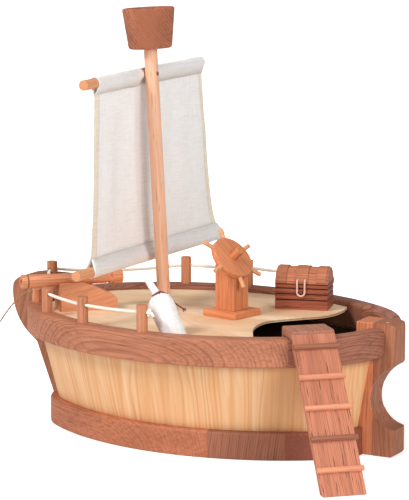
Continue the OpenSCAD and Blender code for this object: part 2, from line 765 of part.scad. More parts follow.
module chest_bands() {
    color(cherry) in_chest() for (b = band_spans) difference() {
        half_barrel(lid_r + band_t, b[0] * chest_w, b[1] * chest_w);
        half_barrel(lid_r, b[0] * chest_w - cut, b[1] * chest_w + cut);
        loop_holes();
        translate([-chest_w, 0, lid_foot - cut]) cube([2 * chest_w, chest_d, hinge_d * 4]);
        translate([-chest_w, -chest_d, lid_foot - cut]) cube([2 * chest_w, 2 * chest_d, cut + lid_gap]);
    }
}
module chest_hinge() { color(beech) in_chest() hinge_bar(-chest_w / 2, hinge_d, chest_w); }
latch_out = 5;
module chest_latch() {
    color(birch) in_chest() translate([0, -chest_d / 2 - latch_out, latch_z]) rotate([-90, 0, 0])
        cylinder(d = latch_d, h = latch_out + latch_in);
}
// Cord loop on the lid, hanging round the peg
loop_half = 5.8;
loop_top = chest_h + 6.5;
loop_sink = 5;
loop_gap = 0.1;
loop_y = -chest_d / 2 - band_t - loop_d / 2 - loop_gap;
module loop_holes() {
    for (x = [-loop_half, loop_half]) translate([x, loop_y - loop_sink, loop_top]) rotate([-90, 0, 0])
        cylinder(d = loop_d + 2 * dowel_gap, h = 2 * loop_sink + 2 * cut);
}
module chest_loop() {
    color(cord) in_chest() {
        for (x = [-loop_half, loop_half]) {
            translate([x, loop_y, latch_z]) cylinder(d = loop_d, h = loop_top - latch_z);
            translate([x, loop_y, loop_top]) rotate([-90, 0, 0]) cylinder(d = loop_d, h = loop_sink);
            translate([x, loop_y, loop_top]) sphere(d = loop_d);
        }
        translate([0, loop_y, latch_z]) rotate([90, 0, 0]) rotate([0, 0, 180]) rotate_extrude(angle = 180)
            translate([loop_half, 0]) circle(d = loop_d);
    }
}

// Cannon: barrel on a stepped carriage, loose on the deck
cannon_at = [-203, -95];
cannon_turn = 47;
module in_cannon() {
    translate(concat(cannon_at, deck_top)) rotate([0, 0, cannon_turn]) children();
}
muzzle_x = -57;
bore_d = 9;
bore_len = 26;
module barrel_axis() {
    translate([muzzle_x, carriage_w / 2, barrel_z]) rotate([0, 90, 0]) children();
}
// The barrel's turned outline from muzzle to breech: out from the waist's radius, and place along the barrel
barrel_turning = [[0, 0], [1.2, 1], [1.2, 9], [0.4, 10], [0.4, 11.5], [0.9, 12.5], [0, 60], [0, 72],
    [-0.7, 73], [-0.7, 75.5], [0, 76.5], [-0.2, 120], [-0.2, 132], [-0.9, 133], [-0.9, 135], [0.6, 136],
    [0.8, 139], [0, 140], [0, 141.5], [1.5, 143]];
breech_cut = 2.5;
module cannon_barrel() {
    r = barrel_r;
    l = barrel_l;
    turned = [for (p = barrel_turning) [r + p[0], p[1]]];
    breech = [[r + 1.5, l - breech_cut], [r, l], [0, l]];
    color(alder) in_cannon() difference() {
        barrel_axis() rotate_extrude() polygon(concat([[0, 0]], turned, breech));
        barrel_axis() translate([0, 0, -cut]) cylinder(d = bore_d, h = bore_len + cut);
        cannon_pin_at(dowel_gap);
    }
}
pin_x = 18;
pin_in = 22;
module cannon_pin_at(gap) {
    translate([pin_x, carriage_w / 2, carriage_h - pin_in - gap])
        cylinder(d = cannon_pin_d + 2 * gap, h = barrel_z - carriage_h + pin_in + 2 * gap);
}
// The carriage's side, as parts of its length and height
carriage_side = [[0, 0], [1, 0], [1, 0.39], [0.91, 0.56], [0.79, 0.66], [0.61, 0.86], [0.43, 1], [0, 1]];
module cannon_carriage() {
    color(alder) in_cannon() difference() {
        translate([0, carriage_w, 0]) rotate([90, 0, 0]) linear_extrude(height = carriage_w)
            polygon([for (p = carriage_side) [p[0] * carriage_l, p[1] * carriage_h]]);
        barrel_axis() translate([0, 0, -cut]) cylinder(r = barrel_r + dowel_gap, h = barrel_l);
        cannon_pin_at(dowel_gap);
    }
}
module cannon_pin() { color(beech) in_cannon() cannon_pin_at(0); }

// Boarding ladder: hook board over the gunwale, plank down to the floor, rungs across it
ladder_turn = 50.3;
ladder_yaw = 46.5;
module in_ladder() {
    translate([gun_a - gun_r + gun_r * cos(ladder_turn), -gun_r * sin(ladder_turn), 0])
        rotate([0, 0, -ladder_yaw]) children();
}
module ladder_board() {
    in_ladder() translate([0, plank_w / 2, 0]) rotate([90, 0, 0]) linear_extrude(height = plank_w) children();
}
hook_low = gun_top + 0.3;
hook_top = hook_low + hook_t;
hook_lip = 8;
lip_gap = 4;
lip_drop = 20;
hook_cut = 3;
sag_in = gun_r - sqrt(gun_r * gun_r - plank_w * plank_w / 4);
hook_in = -gun_w - sag_in - lip_gap;
hook_back = hook_in - hook_lip;
hook_out = 6;
module ladder_hook() {
    c = hook_cut;
    lip = [[hook_in, hook_low], [hook_in, hook_low - lip_drop], [hook_back + c, hook_low - lip_drop],
        [hook_back, hook_low - lip_drop + c]];
    top = [[hook_back, hook_top - c], [hook_back + c, hook_top], [hook_out - 2 * c, hook_top],
        [hook_out - c / 2, hook_top - c / 2], [hook_out, hook_top - 2 * c], [hook_out, hook_low]];
    color(cherry) ladder_board() polygon(concat(lip, top));
}
// The plank's upper face runs from the hook's outer edge to the floor
plank_top = hook_top - 4;
plank_fall = atan2(plank_top, plank_run - hook_out);
module ladder_plank() {
    color(cherry) ladder_board() polygon([[hook_out, plank_top], [plank_run, 0],
        [plank_run - plank_t / sin(plank_fall), 0], [hook_out, plank_top - plank_t / cos(plank_fall)]]);
}
rung_low = 31;
rung_step = 37.2;
rung_count = 5;
rung_sink = 2.5;
rung_over = 2.5;
module ladder_rungs() {
    reach = plank_w + 2 * rung_over;
    color(beech) in_ladder() for (k = [0 : rung_count - 1]) let (z = rung_low + rung_step * k)
        translate([plank_run - z / tan(plank_fall), 0, z]) rotate([0, plank_fall, 0]) intersection() {
            translate([0, reach / 2, rung_d / 2 - rung_sink]) rotate([90, 0, 0])
                cylinder(d = rung_d, h = reach);
            translate([-rung_d, -plank_w, 0]) cube([2 * rung_d, 2 * plank_w, rung_d]);
        }
}

// Sack, leaning towards the bow, tied at its neck
sack_at = [27, -163];
sack_lean = 27;
module in_sack() {
    translate(concat(sack_at, deck_top)) rotate([0, -sack_lean, 0]) children();
}
neck_r = 5.5;
neck_straight = 4;
neck_len = 20;
neck_lean = 10;
sack_sink = 10;
// The sack's outline: part of the height up to the tie, and step in from its widest
sack_outline = [[0, 0.6], [0.22, 0], [0.5, 0.4], [0.75, 3]];
module sack() {
    sides = [for (p = sack_outline) [sack_r - p[1], p[0] * sack_h]];
    neck_top = sack_h + neck_straight;
    neck = [[neck_r + 5, 0.9 * sack_h], [neck_r, sack_h - 2], [neck_r, neck_top], [0, neck_top]];
    color(linen) difference() {
        in_sack() {
            rotate_extrude() polygon(concat([[0, -sack_sink], [sack_r - 3, -sack_sink]], sides, neck));
            translate([0, 0, neck_top - cut]) rotate([0, -neck_lean, 0])
                cylinder(r1 = neck_r, r2 = neck_r + 1, h = neck_len);
        }
        translate([-beyond, -beyond, deck_top - beyond]) cube([2 * beyond, 2 * beyond, beyond]);
    }
}
tie_d = 2.6;
tie_gap = 0.1;
tail_d = 2;
tail_len = 44;
tail_turn = 35;
tail_drop = 150;
module sack_tie() {
    tie_at = neck_r + tie_d / 2 + tie_gap;
    color([0.45, 0.12, 0.12]) in_sack() translate([0, 0, sack_h + 1]) {
        rotate_extrude() translate([tie_at, 0]) circle(d = tie_d, $fn = 24);
        rotate([0, 0, tail_turn]) translate([tie_at + tie_d / 2, 0, 0]) rotate([0, tail_drop, 0])
            cylinder(d = tail_d, h = tail_len);
    }
}

// Rail posts with a hole for the rope
hole_d = rope_d + 2;
module rail_post(p, turn, z0, z1, zh) {
    difference() {
        translate([p[0], p[1], z0]) cylinder(d = rail_d, h = z1 - z0);
        translate([p[0], p[1], zh]) rotate([90, 0, turn]) translate([0, 0, -rail_d])
            cylinder(d = hole_d, h = 2 * rail_d);
    }
}
// How far each post's top, and the rope in it, stands over or under the usual height
top_trim_port = [-4, -2, -1];
top_trim_star = [1.5, 0, 0];
rope_trim_port = [-0.5, -2, 0];
rope_trim_star = [0, 0, 0];
module rail_posts(angles, top_trim, rope_trim) {
    for (k = [0 : len(angles) - 1]) let (t = angles[k], z1 = gun_top + rail_h + top_trim[k])
        rail_post(gun_at(t, -gun_w / 2), t, gun_top - rail_seat, z1, gun_top + rope_z + rope_trim[k]);
}
module rail_posts_port() {
    color(alder) port_side() rail_posts(post_angles_port, top_trim_port, rope_trim_port);
}
module rail_posts_star() {
    color(alder) rail_posts(post_angles_star, top_trim_star, rope_trim_star);
}
bow_rope_z = stem_top + 6;
module rail_post_bow() {
    color(alder) rail_post([bow_post_x, 0], 0, stem_top - rail_seat, stem_top + bow_post_rise, bow_rope_z);
}

// Swept tube through a list of points
tube_sides = 8;
function tube_dir(p, i) = let (d = p[min(i + 1, len(p) - 1)] - p[max(i - 1, 0)]) d / norm(d);
function tube_flat(d) = let (s = cross(d, abs(d[2]) > 0.9 ? [1, 0, 0] : [0, 0, 1])) s / norm(s);
module tube(p, d) {
    n = len(p);
    pts = [for (i = [0 : n - 1]) let (t = tube_dir(p, i), s = tube_flat(t), w = cross(s, t))
        for (k = [0 : tube_sides - 1]) let (a = 360 * k / tube_sides)
            p[i] + d / 2 * (cos(a) * s + sin(a) * w)];
    skin = [for (i = [0 : n - 2], k = [0 : tube_sides - 1])
        let (a = i * tube_sides + k, b = i * tube_sides + (k + 1) % tube_sides)
        [a, b, b + tube_sides, a + tube_sides]];
    caps = [[for (k = [tube_sides - 1 : -1 : 0]) k],
        [for (k = [0 : tube_sides - 1]) (n - 1) * tube_sides + k]];
    polyhedron(points = pts, faces = concat(skin, caps), convexity = 8);
}
// Rope through the posts from the port knot round the bow to the starboard knot.
// It runs straight through each post, and hangs in a shallow curve between posts.
rope_grip = 9;
rope_tail = 5;
sag = 1;
long_sag = 5;
span_steps = 8;
function at_post(t, side, along, trim) = let (m = gun_at(t, -gun_w / 2))
    [m[0] + along * sin(t), side * (m[1] - along * cos(t)), gun_top + rope_z + trim];
function span(a, b, drop) = [for (i = [0 : span_steps]) let (u = i / span_steps)
    a + (b - a) * u - [0, 0, 4 * drop * u * (1 - u)]];
function port_hole(k, along) = at_post(post_angles_port[k], -1, along, rope_trim_port[k]);
function star_hole(k, along) = at_post(post_angles_star[k], 1, along, rope_trim_star[k]);
bow_in = [bow_post_x, -rope_grip, bow_rope_z];
bow_out = [bow_post_x, rope_grip, bow_rope_z];
rope_start = port_hole(2, rope_grip + rope_tail);
rope_end = star_hole(2, rope_grip + rope_tail);
rope_route = concat([rope_start],
    span(port_hole(2, -rope_grip), port_hole(1, rope_grip), sag),
    span(port_hole(1, -rope_grip), port_hole(0, rope_grip), sag),
    span(port_hole(0, -rope_grip), bow_in, long_sag),
    span(bow_out, star_hole(0, -rope_grip), long_sag),
    span(star_hole(0, rope_grip), star_hole(1, -rope_grip), sag),
    span(star_hole(1, rope_grip), star_hole(2, -rope_grip), sag),
    [rope_end]);
knot_d = 10;
module rail_rope() {
    color(cord) {
        tube(rope_route, rope_d);
        for (e = [rope_start, rope_end]) translate(e) sphere(d = knot_d, $fn = 24);
    }
}

// Mooring peg and its leather string, looped once round the peg
module bow_peg() {
    p = gun_at(peg_angle, -gun_w / 2);
    color(alder) translate([p[0], -p[1], gun_top - rail_seat]) cylinder(d = peg_d, h = rail_seat + peg_h);
}
// The lace's free end comes in from the left, and its other end hangs by the cannon's carriage
lace_in = [[-325, -75, 150], [-315, -75, 164], [-305, -75, 176], [-295, -75, 186], [-285, -76, 194],
    [-275, -78, 202]];
lace_out = [[-247, -79, 206], [-235, -88, 208], [-222, -95, 208], [-213, -98, 204], [-210, -99, 196],
    [-210, -99, 188], [-212, -101, 181.5]];
lace_gap = 0.6;
lace_low = 4;
lace_rise = 3;
lace_from = 250;
lace_turn = 240;
lace_steps = 10;
module bow_string() {
    p = gun_at(peg_angle, -gun_w / 2);
    r = (peg_d + string_d) / 2 + lace_gap;
    z = gun_top + peg_h - lace_low;
    ring = [for (i = [0 : lace_steps]) let (u = i / lace_steps, t = lace_from - lace_turn * u)
        [p[0] + r * cos(t), -p[1] + r * sin(t), z + lace_rise * u]];
    color([0.36, 0.24, 0.16]) tube(spline_run(concat(lace_in, ring, lace_out), 2), string_d);
}

ring_port_fore();
ring_port_mid();
ring_port_aft();
ring_star_fore();
ring_star_mid();
ring_star_aft();
bottom_board();
wall_port();
wall_star();
gun_port_fore();
gun_port_aft();
gun_star_fore();
gun_star_aft();
stem();
stern_post();
stern_block_top();
stern_block_low();
stern_plug();
deck();
cleat_port();
cleat_star();
mast_step();
mast();
crows_nest();
yard_upper();
yard_peg();
sail();
yard_lower();
helm_plate_board();
helm_column();
helm_axle();
helm_wheel();
helm_spokes();
chest_body();
chest_lid();
chest_bands();
chest_hinge();
chest_latch();
chest_loop();
cannon_barrel();
cannon_carriage();
cannon_pin();
ladder_plank();
ladder_hook();
ladder_rungs();
sack();
sack_tie();
rail_posts_port();
rail_posts_star();
rail_post_bow();
rail_rope();
bow_peg();
bow_string();
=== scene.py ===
"""Looks of the toy ark: oiled woods, linen sail, cotton sack, ropes and strings, on a pale floor."""
import json
import math

import bmesh
import bpy
from mathutils import Euler, Matrix, Vector, noise


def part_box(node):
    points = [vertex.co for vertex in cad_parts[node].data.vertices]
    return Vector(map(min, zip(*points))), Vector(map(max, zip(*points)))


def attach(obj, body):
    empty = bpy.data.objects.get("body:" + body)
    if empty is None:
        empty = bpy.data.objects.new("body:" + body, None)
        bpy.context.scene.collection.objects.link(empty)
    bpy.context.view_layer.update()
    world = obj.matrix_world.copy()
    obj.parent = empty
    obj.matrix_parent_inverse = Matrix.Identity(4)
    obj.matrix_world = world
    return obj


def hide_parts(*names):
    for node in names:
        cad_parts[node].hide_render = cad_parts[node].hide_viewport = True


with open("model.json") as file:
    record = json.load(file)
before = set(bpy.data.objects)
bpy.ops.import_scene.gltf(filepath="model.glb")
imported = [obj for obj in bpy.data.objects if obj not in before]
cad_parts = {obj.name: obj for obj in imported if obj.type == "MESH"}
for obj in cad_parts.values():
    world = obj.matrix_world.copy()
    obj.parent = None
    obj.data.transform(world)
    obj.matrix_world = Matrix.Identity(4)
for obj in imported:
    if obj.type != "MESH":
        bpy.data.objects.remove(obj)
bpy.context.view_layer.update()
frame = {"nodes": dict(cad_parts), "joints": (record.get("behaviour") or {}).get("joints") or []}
NODES = frame["nodes"]
JOINTS = {j["name"]: j for j in frame["joints"]}
MM = 0.001
WHITE = (1, 1, 1, 1)
BLACK = (0, 0, 0, 1)


def mm(*values):
    return Vector(values) * MM


def show(thing):
    """Puts a new object into the scene."""
    bpy.context.scene.collection.objects.link(thing)


# Camera at the photograph's angle

IMAGE_HEIGHT = 500
FOCAL_PIXELS = 2493
SENSOR = 36.0
CAMERA_AT = Vector((1.7085, -3.2175, 0.8922))
CAMERA_DOWN = 9.607
CAMERA_YAW = 28.13
CAMERA_REACH = 50


def make_camera():
    data = bpy.data.cameras.new("camera")
    data.sensor_width = SENSOR
    data.lens = FOCAL_PIXELS * SENSOR / IMAGE_HEIGHT
    data.clip_end = CAMERA_REACH
    camera = bpy.data.objects.new("camera", data)
    camera.location = CAMERA_AT
    camera.rotation_euler = Euler((math.radians(90 - CAMERA_DOWN), 0, math.radians(CAMERA_YAW)))
    show(camera)
    bpy.context.scene.camera = camera


make_camera()


# Sizes shared with the CAD source, in metres and degrees

GUN_A = 0.292
GUN_B = 0.212
GUN_W = 0.028
GUN_TOP = 0.187
DECK_TOP = 0.179
DECK_LOW = 0.1745
STEM_TOP = 0.217
# Rail posts: place round the gunwale, and how far the rope lies off its usual height
PORT_POSTS = ((124.6, -0.0005), (108.9, -0.002), (91.0, 0.0))
STAR_POSTS = ((112.3, 0.0), (96.3, 0.0), (80.5, 0.0))
ROPE_UP = 0.028
ROPE_D = 0.005
ROPE_SAG = 0.001
BOW_POST_X = -0.277
BOW_ROPE_UP = 0.006
BOW_SAG = 0.005
GRIP = 0.009
TAIL = 0.005
PEG_ANGLE = 152.7
PEG_D = 0.014
PEG_H = 0.020
STRING_D = 0.0024
CHEST_AT = Vector((0.0975, 0.1155, DECK_TOP))
CHEST_TURN = 14.9
CHEST_D = 0.051
CHEST_H = 0.039
BAND_T = 0.0015
LOOP_D = 0.003
LOOP_HALF = 0.0058
RUNG_LOW = 0.031
RUNG_STEP = 0.0372


# Shader building blocks

def rgb(red, green, blue):
    """A colour as a screen shows it, 0 to 255, as linear values."""
    def linear(c):
        c = c / 255
        return c / 12.92 if c <= 0.04045 else ((c + 0.055) / 1.055) ** 2.4
    return (linear(red), linear(green), linear(blue), 1.0)


def blend(a, b, amount):
    """A colour part of the way from one to another."""
    return tuple(p + (q - p) * amount for p, q in zip(a, b))


class Shader:
    """A material's node tree with short calls for the nodes used here."""

    def __init__(self, name):
        self.material = bpy.data.materials.new(name)
        self.material.use_nodes = True
        self.tree = self.material.node_tree
        self.surface = self.tree.nodes["Principled BSDF"]

    def add(self, kind, values=None, **settings):
        made = self.tree.nodes.new(kind)
        for key, value in settings.items():
            setattr(made, key, value)
        for key, value in (values or {}).items():
            self.feed(made.inputs[key], value)
        return made

    def feed(self, socket, value):
        if isinstance(value, bpy.types.NodeSocket):
            self.tree.links.new(value, socket)
        else:
            socket.default_value = value

    def math(self, operation, a, b=0.0, clamp=False):
        return self.add("ShaderNodeMath", {0: a, 1: b}, operation=operation, use_clamp=clamp).outputs[0]

    def scaled(self, value, factor, plus=0.0):
        return self.math("ADD", self.math("MULTIPLY", value, factor), plus)

    def vector(self, operation, a, b=(0, 0, 0)):
        made = self.add("ShaderNodeVectorMath", {0: a, 1: b}, operation=operation)
        return made.outputs["Value"] if operation in ("LENGTH", "DOT_PRODUCT") else made.outputs["Vector"]

    def stretch(self, vector, factors):
        return self.vector("MULTIPLY", vector, factors)

    def coordinates(self):
        return self.add("ShaderNodeTexCoord").outputs["Object"]

    def facing(self):
        return self.add("ShaderNodeTexCoord").outputs["Normal"]

    def join(self, x, y=0.0, z=0.0):
        return self.add("ShaderNodeCombineXYZ", {0: x, 1: y, 2: z}).outputs[0]

    def split(self, vector):
        return self.add("ShaderNodeSeparateXYZ", {0: vector}).outputs

    def noise(self, vector, scale=1.0, detail=2.0, rough=0.5, colour=False):
        values = {"Vector": vector, "Scale": scale, "Detail": detail, "Roughness": rough}
        return self.add("ShaderNodeTexNoise", values).outputs["Color" if colour else 0]

    def wander(self, vector, scale, reach):
        """A slow random shift of up to half the reach each way."""
        shift = self.vector("SUBTRACT", self.noise(vector, scale, colour=True), (0.5, 0.5, 0.5))
        return self.stretch(shift, (reach,) * 3)

    def random(self, value):
        return self.add("ShaderNodeTexWhiteNoise", {"W": value}, noise_dimensions="1D").outputs["Value"]

    def ramp(self, value, stops, smooth=False):
        made = self.add("ShaderNodeValToRGB", {0: value})
        bar = made.color_ramp
        bar.interpolation = "EASE" if smooth else "LINEAR"
        while len(bar.elements) < len(stops):
            bar.elements.new(0.5)
        for element, (place, level) in zip(bar.elements, stops):
            element.position = place
            element.color = (level, level, level, 1.0)
        return made.outputs[0]

    def step(self, value, low, high):
        """0 below low, 1 above high, and a soft rise between."""
        return self.ramp(value, [(low, 0.0), (high, 1.0)], smooth=True)

    def mix(self, amount, a, b):
        made = self.add("ShaderNodeMix", data_type="RGBA")
        self.feed(made.inputs["Factor"], amount)
        self.feed(made.inputs[6], a)
        self.feed(made.inputs[7], b)
        return made.outputs[2]

    def tint(self, colour, marks, strength, other):
        """A colour mixed with another where there are marks."""
        return self.mix(self.math("MULTIPLY", marks, strength), colour, other)

    def bump(self, height, strength, distance):
        values = {"Height": height, "Strength": strength, "Distance": distance}
        return self.add("ShaderNodeBump", values).outputs[0]

    def set(self, **sockets):
        for key, value in sockets.items():
            self.feed(self.surface.inputs[key.replace("_", " ")], value)
        return self.material


# Woods

class Wood:
    """One kind of wood: colours, ring width and warp in millimetres, strengths and fineness of its marks."""

    def __init__(self, light, dark, ring=3.5, rings=0.6, streak=0.35, fleck=0.4, patch=0.5,
                 warp=14.0, fine=1.0, ends=None):
        self.light = rgb(*light)
        self.dark = rgb(*dark)
        self.middle = blend(self.light, self.dark, 0.45)
        self.ends = rgb(*ends) if ends else self.middle
        self.ring = ring * MM
        self.rings = rings
        self.streak = streak
        self.fleck = fleck
        self.patch = patch
        self.warp = warp * MM
        self.fine = fine


CHERRY = Wood((200, 130, 96), (112, 58, 38), rings=0.7, patch=0.6, warp=18, ends=(146, 104, 88))
CHERRY_WARM = Wood((196, 122, 86), (118, 58, 36), ring=4.0, rings=0.5, streak=0.4, fleck=0.5,
                   patch=0.6, warp=20)
CHERRY_FIGURED = Wood((182, 116, 90), (80, 42, 28), ring=4.2, rings=0.9, streak=0.3, warp=30)
CHERRY_DARK = Wood((168, 106, 80), (78, 42, 28), ring=3.4, rings=0.9, streak=0.25, fleck=0.3)
CHERRY_DEEP = Wood((166, 96, 74), (84, 42, 30), ring=2.8, rings=0.75, streak=0.3, fleck=0.3)
STERN_BROWN = Wood((182, 116, 84), (98, 54, 36), ring=4.2, streak=0.45, fine=1.5)
STERN_ORANGE = Wood((228, 142, 98), (138, 68, 38), ring=7.0, rings=0.5, streak=0.6, patch=0.7, fine=1.4)
CHEST_WOOD = Wood((176, 94, 66), (70, 32, 22), ring=5.0, rings=0.5, streak=0.6, fleck=0.5,
                  patch=0.7, fine=1.5)
LID_WOOD = Wood((204, 126, 88), (104, 52, 34), ring=4.0, rings=0.45, streak=0.6, fleck=0.5,
                patch=0.7, fine=1.5)
NEST_WOOD = Wood((192, 116, 82), (84, 42, 28), ring=3.6, rings=0.9, streak=0.3, fleck=0.7)
LADDER_WOOD = Wood((214, 136, 103), (100, 42, 26), ring=3.0, rings=0.35, streak=0.5, fleck=0.85,
                   warp=6, fine=3.2)
HOOK_WOOD = Wood((186, 122, 96), (104, 62, 46), ring=4.0, rings=0.5, streak=0.4, fleck=0.6, fine=1.5)
RUNG_WOOD = Wood((236, 158, 120), (156, 90, 60), ring=3.0, rings=0.35)
RUNG_DARK = Wood((166, 102, 74), (100, 56, 38), ring=3.0, rings=0.4, streak=0.4)
ALDER = Wood((238, 154, 104), (160, 82, 46), ring=8.0, rings=0.35, streak=0.5, patch=0.7, warp=24, fine=1.4)
CANNON_WOOD = Wood((236, 158, 114), (150, 82, 50), ring=4.5, rings=0.45, streak=0.45, fine=1.4)
CARRIAGE_WOOD = Wood((224, 152, 110), (158, 96, 62), ring=14.0, rings=0.35, streak=0.3, patch=0.6, fine=1.5)
BEECH = Wood((248, 196, 162), (206, 144, 110), ring=7.0, rings=0.2, streak=0.4, fleck=0.5, fine=1.4)
YARD_WOOD = Wood((236, 168, 122), (176, 106, 68), ring=3.0, rings=0.45, streak=0.4)
SPOKE_WOOD = Wood((240, 176, 128), (180, 112, 72), ring=4.0, rings=0.3, streak=0.45)
POST_WOOD = Wood((216, 144, 104), (132, 76, 48), ring=4.5, rings=0.4, streak=0.45, fleck=0.5, fine=1.4)
PALE = Wood((240, 208, 168), (196, 150, 106), ring=5.0, rings=0.3, streak=0.3, fleck=0.25)

# Growth rings: profile of one ring, waves per metre of bends and kinks, drift of the widths
LATE_WOOD = [(0.0, 0.0), (0.35, 0.08), (0.66, 0.5), (0.84, 1.0), (0.94, 0.6), (1.0, 0.0)]
BEND_WAVES = 9
BEND_DRAW = (0.3, 1, 1)
KINK_WAVES = 65
KINK_DRAW = (0.2, 1, 1)
KINK_SHARE = 0.14
DRIFT_WAVES = 0.23
DRIFT_RINGS = 2.4
FAINTEST_RING = 0.3


def along(direction):
    """Rotation that turns the X axis, the wood's grain, to a direction."""
    return Vector(direction).to_track_quat("X", "Z").to_euler()


def growth(s, tree, kind):
    """Late wood of uneven growth rings round the tree's X axis, each ring with its own depth."""
    bent = s.vector("ADD", tree, s.wander(s.stretch(tree, BEND_DRAW), BEND_WAVES, kind.warp))
    bent = s.vector("ADD", bent, s.wander(s.stretch(tree, KINK_DRAW), KINK_WAVES, kind.warp * KINK_SHARE))
    count = s.math("DIVIDE", s.vector("LENGTH", s.stretch(bent, (0, 1, 1))), kind.ring)
    drift = s.noise(s.join(s.math("MULTIPLY", count, DRIFT_WAVES)))
    count = s.math("ADD", count, s.scaled(drift, DRIFT_RINGS))
    depth = s.scaled(s.random(s.math("FLOOR", count)), 1 - FAINTEST_RING, FAINTEST_RING)
    return s.math("MULTIPLY", s.ramp(s.math("FRACT", count), LATE_WOOD), depth)


GAP_BROWN = rgb(44, 20, 14)
GAP_HALF = 0.0013
GAP_EDGE = [(0.35, 0.9), (1.0, 0.0)]


def gaps(s, colour, way, places):
    """Dark gaps or grooves across a direction, at some places along it."""
    run = s.vector("DOT_PRODUCT", s.coordinates(), tuple(way))
    for place in places:
        off = s.math("ABSOLUTE", s.math("SUBTRACT", run, place))
        near = s.ramp(s.math("DIVIDE", off, GAP_HALF, clamp=True), GAP_EDGE)
        colour = s.mix(near, colour, GAP_BROWN)
    return colour


# Marks of a board: waves per metre along and across the grain, and levels between which each sets in
PATCH_WAVES = 17
PATCH_RISE = (0.36, 0.66)
STREAK_WAVES = (6, 260)
STREAK_RISE = (0.40, 0.68)
FIBRE_WAVES = (18, 900)
FIBRE_TINT = (0.3, -0.05)
FLECK_WAVES = (28, 480)
FLECK_RISE = (0.61, 0.71)
END_RISE = (0.7, 0.97)
END_TINT = 0.65


def drawn(s, tree, waves, fine=1.0, detail=3, rough=0.5):
    """Noise drawn out along the grain."""
    across = waves[1] * fine
    return s.noise(s.stretch(tree, (waves[0], across, across)), detail=detail, rough=rough)


def wood(name, kind, grain, pith, grooves=None):
    """Solid wood: growth rings round a pith line through a point, along the grain, with fibres and pores."""
    s = Shader(name)
    place = {"Vector": s.coordinates(), "Location": pith, "Rotation": along(grain)}
    tree = s.add("ShaderNodeMapping", place, vector_type="TEXTURE").outputs[0]
    late = growth(s, tree, kind)
    patch = s.step(s.noise(s.stretch(tree, BEND_DRAW), PATCH_WAVES), *PATCH_RISE)
    streak = s.step(drawn(s, tree, STREAK_WAVES, kind.fine, detail=4, rough=0.62), *STREAK_RISE)
    fibre = drawn(s, tree, FIBRE_WAVES)
    fleck = s.step(drawn(s, tree, FLECK_WAVES, detail=2), *FLECK_RISE)
    square = s.vector("DOT_PRODUCT", s.facing(), tuple(Vector(grain).normalized()))
    end = s.step(s.math("ABSOLUTE", square), *END_RISE)
    colour = s.tint(kind.light, patch, kind.patch, kind.middle)
    colour = s.tint(colour, late, kind.rings, kind.dark)
    colour = s.tint(colour, streak, kind.streak, kind.dark)
    colour = s.mix(s.scaled(fibre, *FIBRE_TINT), colour, blend(kind.light, WHITE, 0.1))
    colour = s.tint(colour, fleck, kind.fleck, blend(kind.dark, BLACK, 0.4))
    colour = s.tint(colour, end, END_TINT, kind.ends)
    if grooves:
        colour = gaps(s, colour, *grooves)
    sunk = s.math("ADD", s.scaled(fleck, 0.5), s.scaled(late, 0.2))
    relief = s.math("SUBTRACT", s.scaled(fibre, 0.5), sunk)
    return s.set(Base_Color=colour, Roughness=s.scaled(streak, 0.12, 0.46), Specular_IOR_Level=0.24,
                 Normal=s.bump(relief, 0.35, 0.0004))


# Bent wall: half length, half breadth and height of its foot and of its head
WALL_FOOT = (0.253, 0.141, 0.040)
WALL_HEAD = (0.271, 0.191, 0.146)
# Metres of wall for a radian round the hull, and how much the grain leans at the bow
WALL_TURN = 0.23
WALL_LEAN = 0.3
WALL_WANDER = 0.009
# Depth of the painted shade band on the wall below the gunwale, in metres
GUNWALE_SHADE_DEPTH = 0.012
PINE_LINES = 110
PINE_HILLS = 13
PINE_FAINTEST = 0.2
PINE_CALM = 0.3
# Waves per metre of the pine's marks, round the hull and upwards
PINE_WAVES = {
    "wander": (12, 6, 1),
    "hills": (17, 1.5, 1),
    "zone": (9, 1.5, 1),
    "streak": (85, 2.4, 1),
    "fibre": (420, 7, 1),
    "broad": (13, 1.8, 1),
}
PINE = {
    "light": rgb(252, 216, 170),
    "streak": rgb(238, 182, 128),
    "broad": rgb(230, 166, 110),
    "line": rgb(208, 126, 66),
    "fibre": rgb(222, 156, 100),
    # Painted shade under the gunwale
    "painted_shade": rgb(150, 92, 56),
    # Near-black painted shade of the hold side
    "hold": rgb(38, 28, 22),
}


def unrolled(s):
    """Place on the bent wall laid flat: metres round the hull, straight along the grain, and height."""
    x, y, z = s.split(s.coordinates())
    rise = WALL_HEAD[2] - WALL_FOOT[2]
    height = s.scaled(z, 1 / rise, -WALL_FOOT[2] / rise)
    length = s.scaled(height, WALL_HEAD[0] - WALL_FOOT[0], WALL_FOOT[0])
    breadth = s.scaled(height, WALL_HEAD[1] - WALL_FOOT[1], WALL_FOOT[1])
    turn = s.math("ARCTAN2", s.math("DIVIDE", y, breadth), s.math("DIVIDE", x, length))
    lean = s.scaled(s.math("COSINE", turn), 0.5 * WALL_LEAN, -0.5 * WALL_LEAN)
    lean = s.math("MULTIPLY", lean, s.math("SIGN", y))
    lean = s.math("MULTIPLY", lean, s.math("SUBTRACT", z, WALL_FOOT[2]))
    return s.join(s.math("SUBTRACT", s.scaled(turn, WALL_TURN), lean), z)


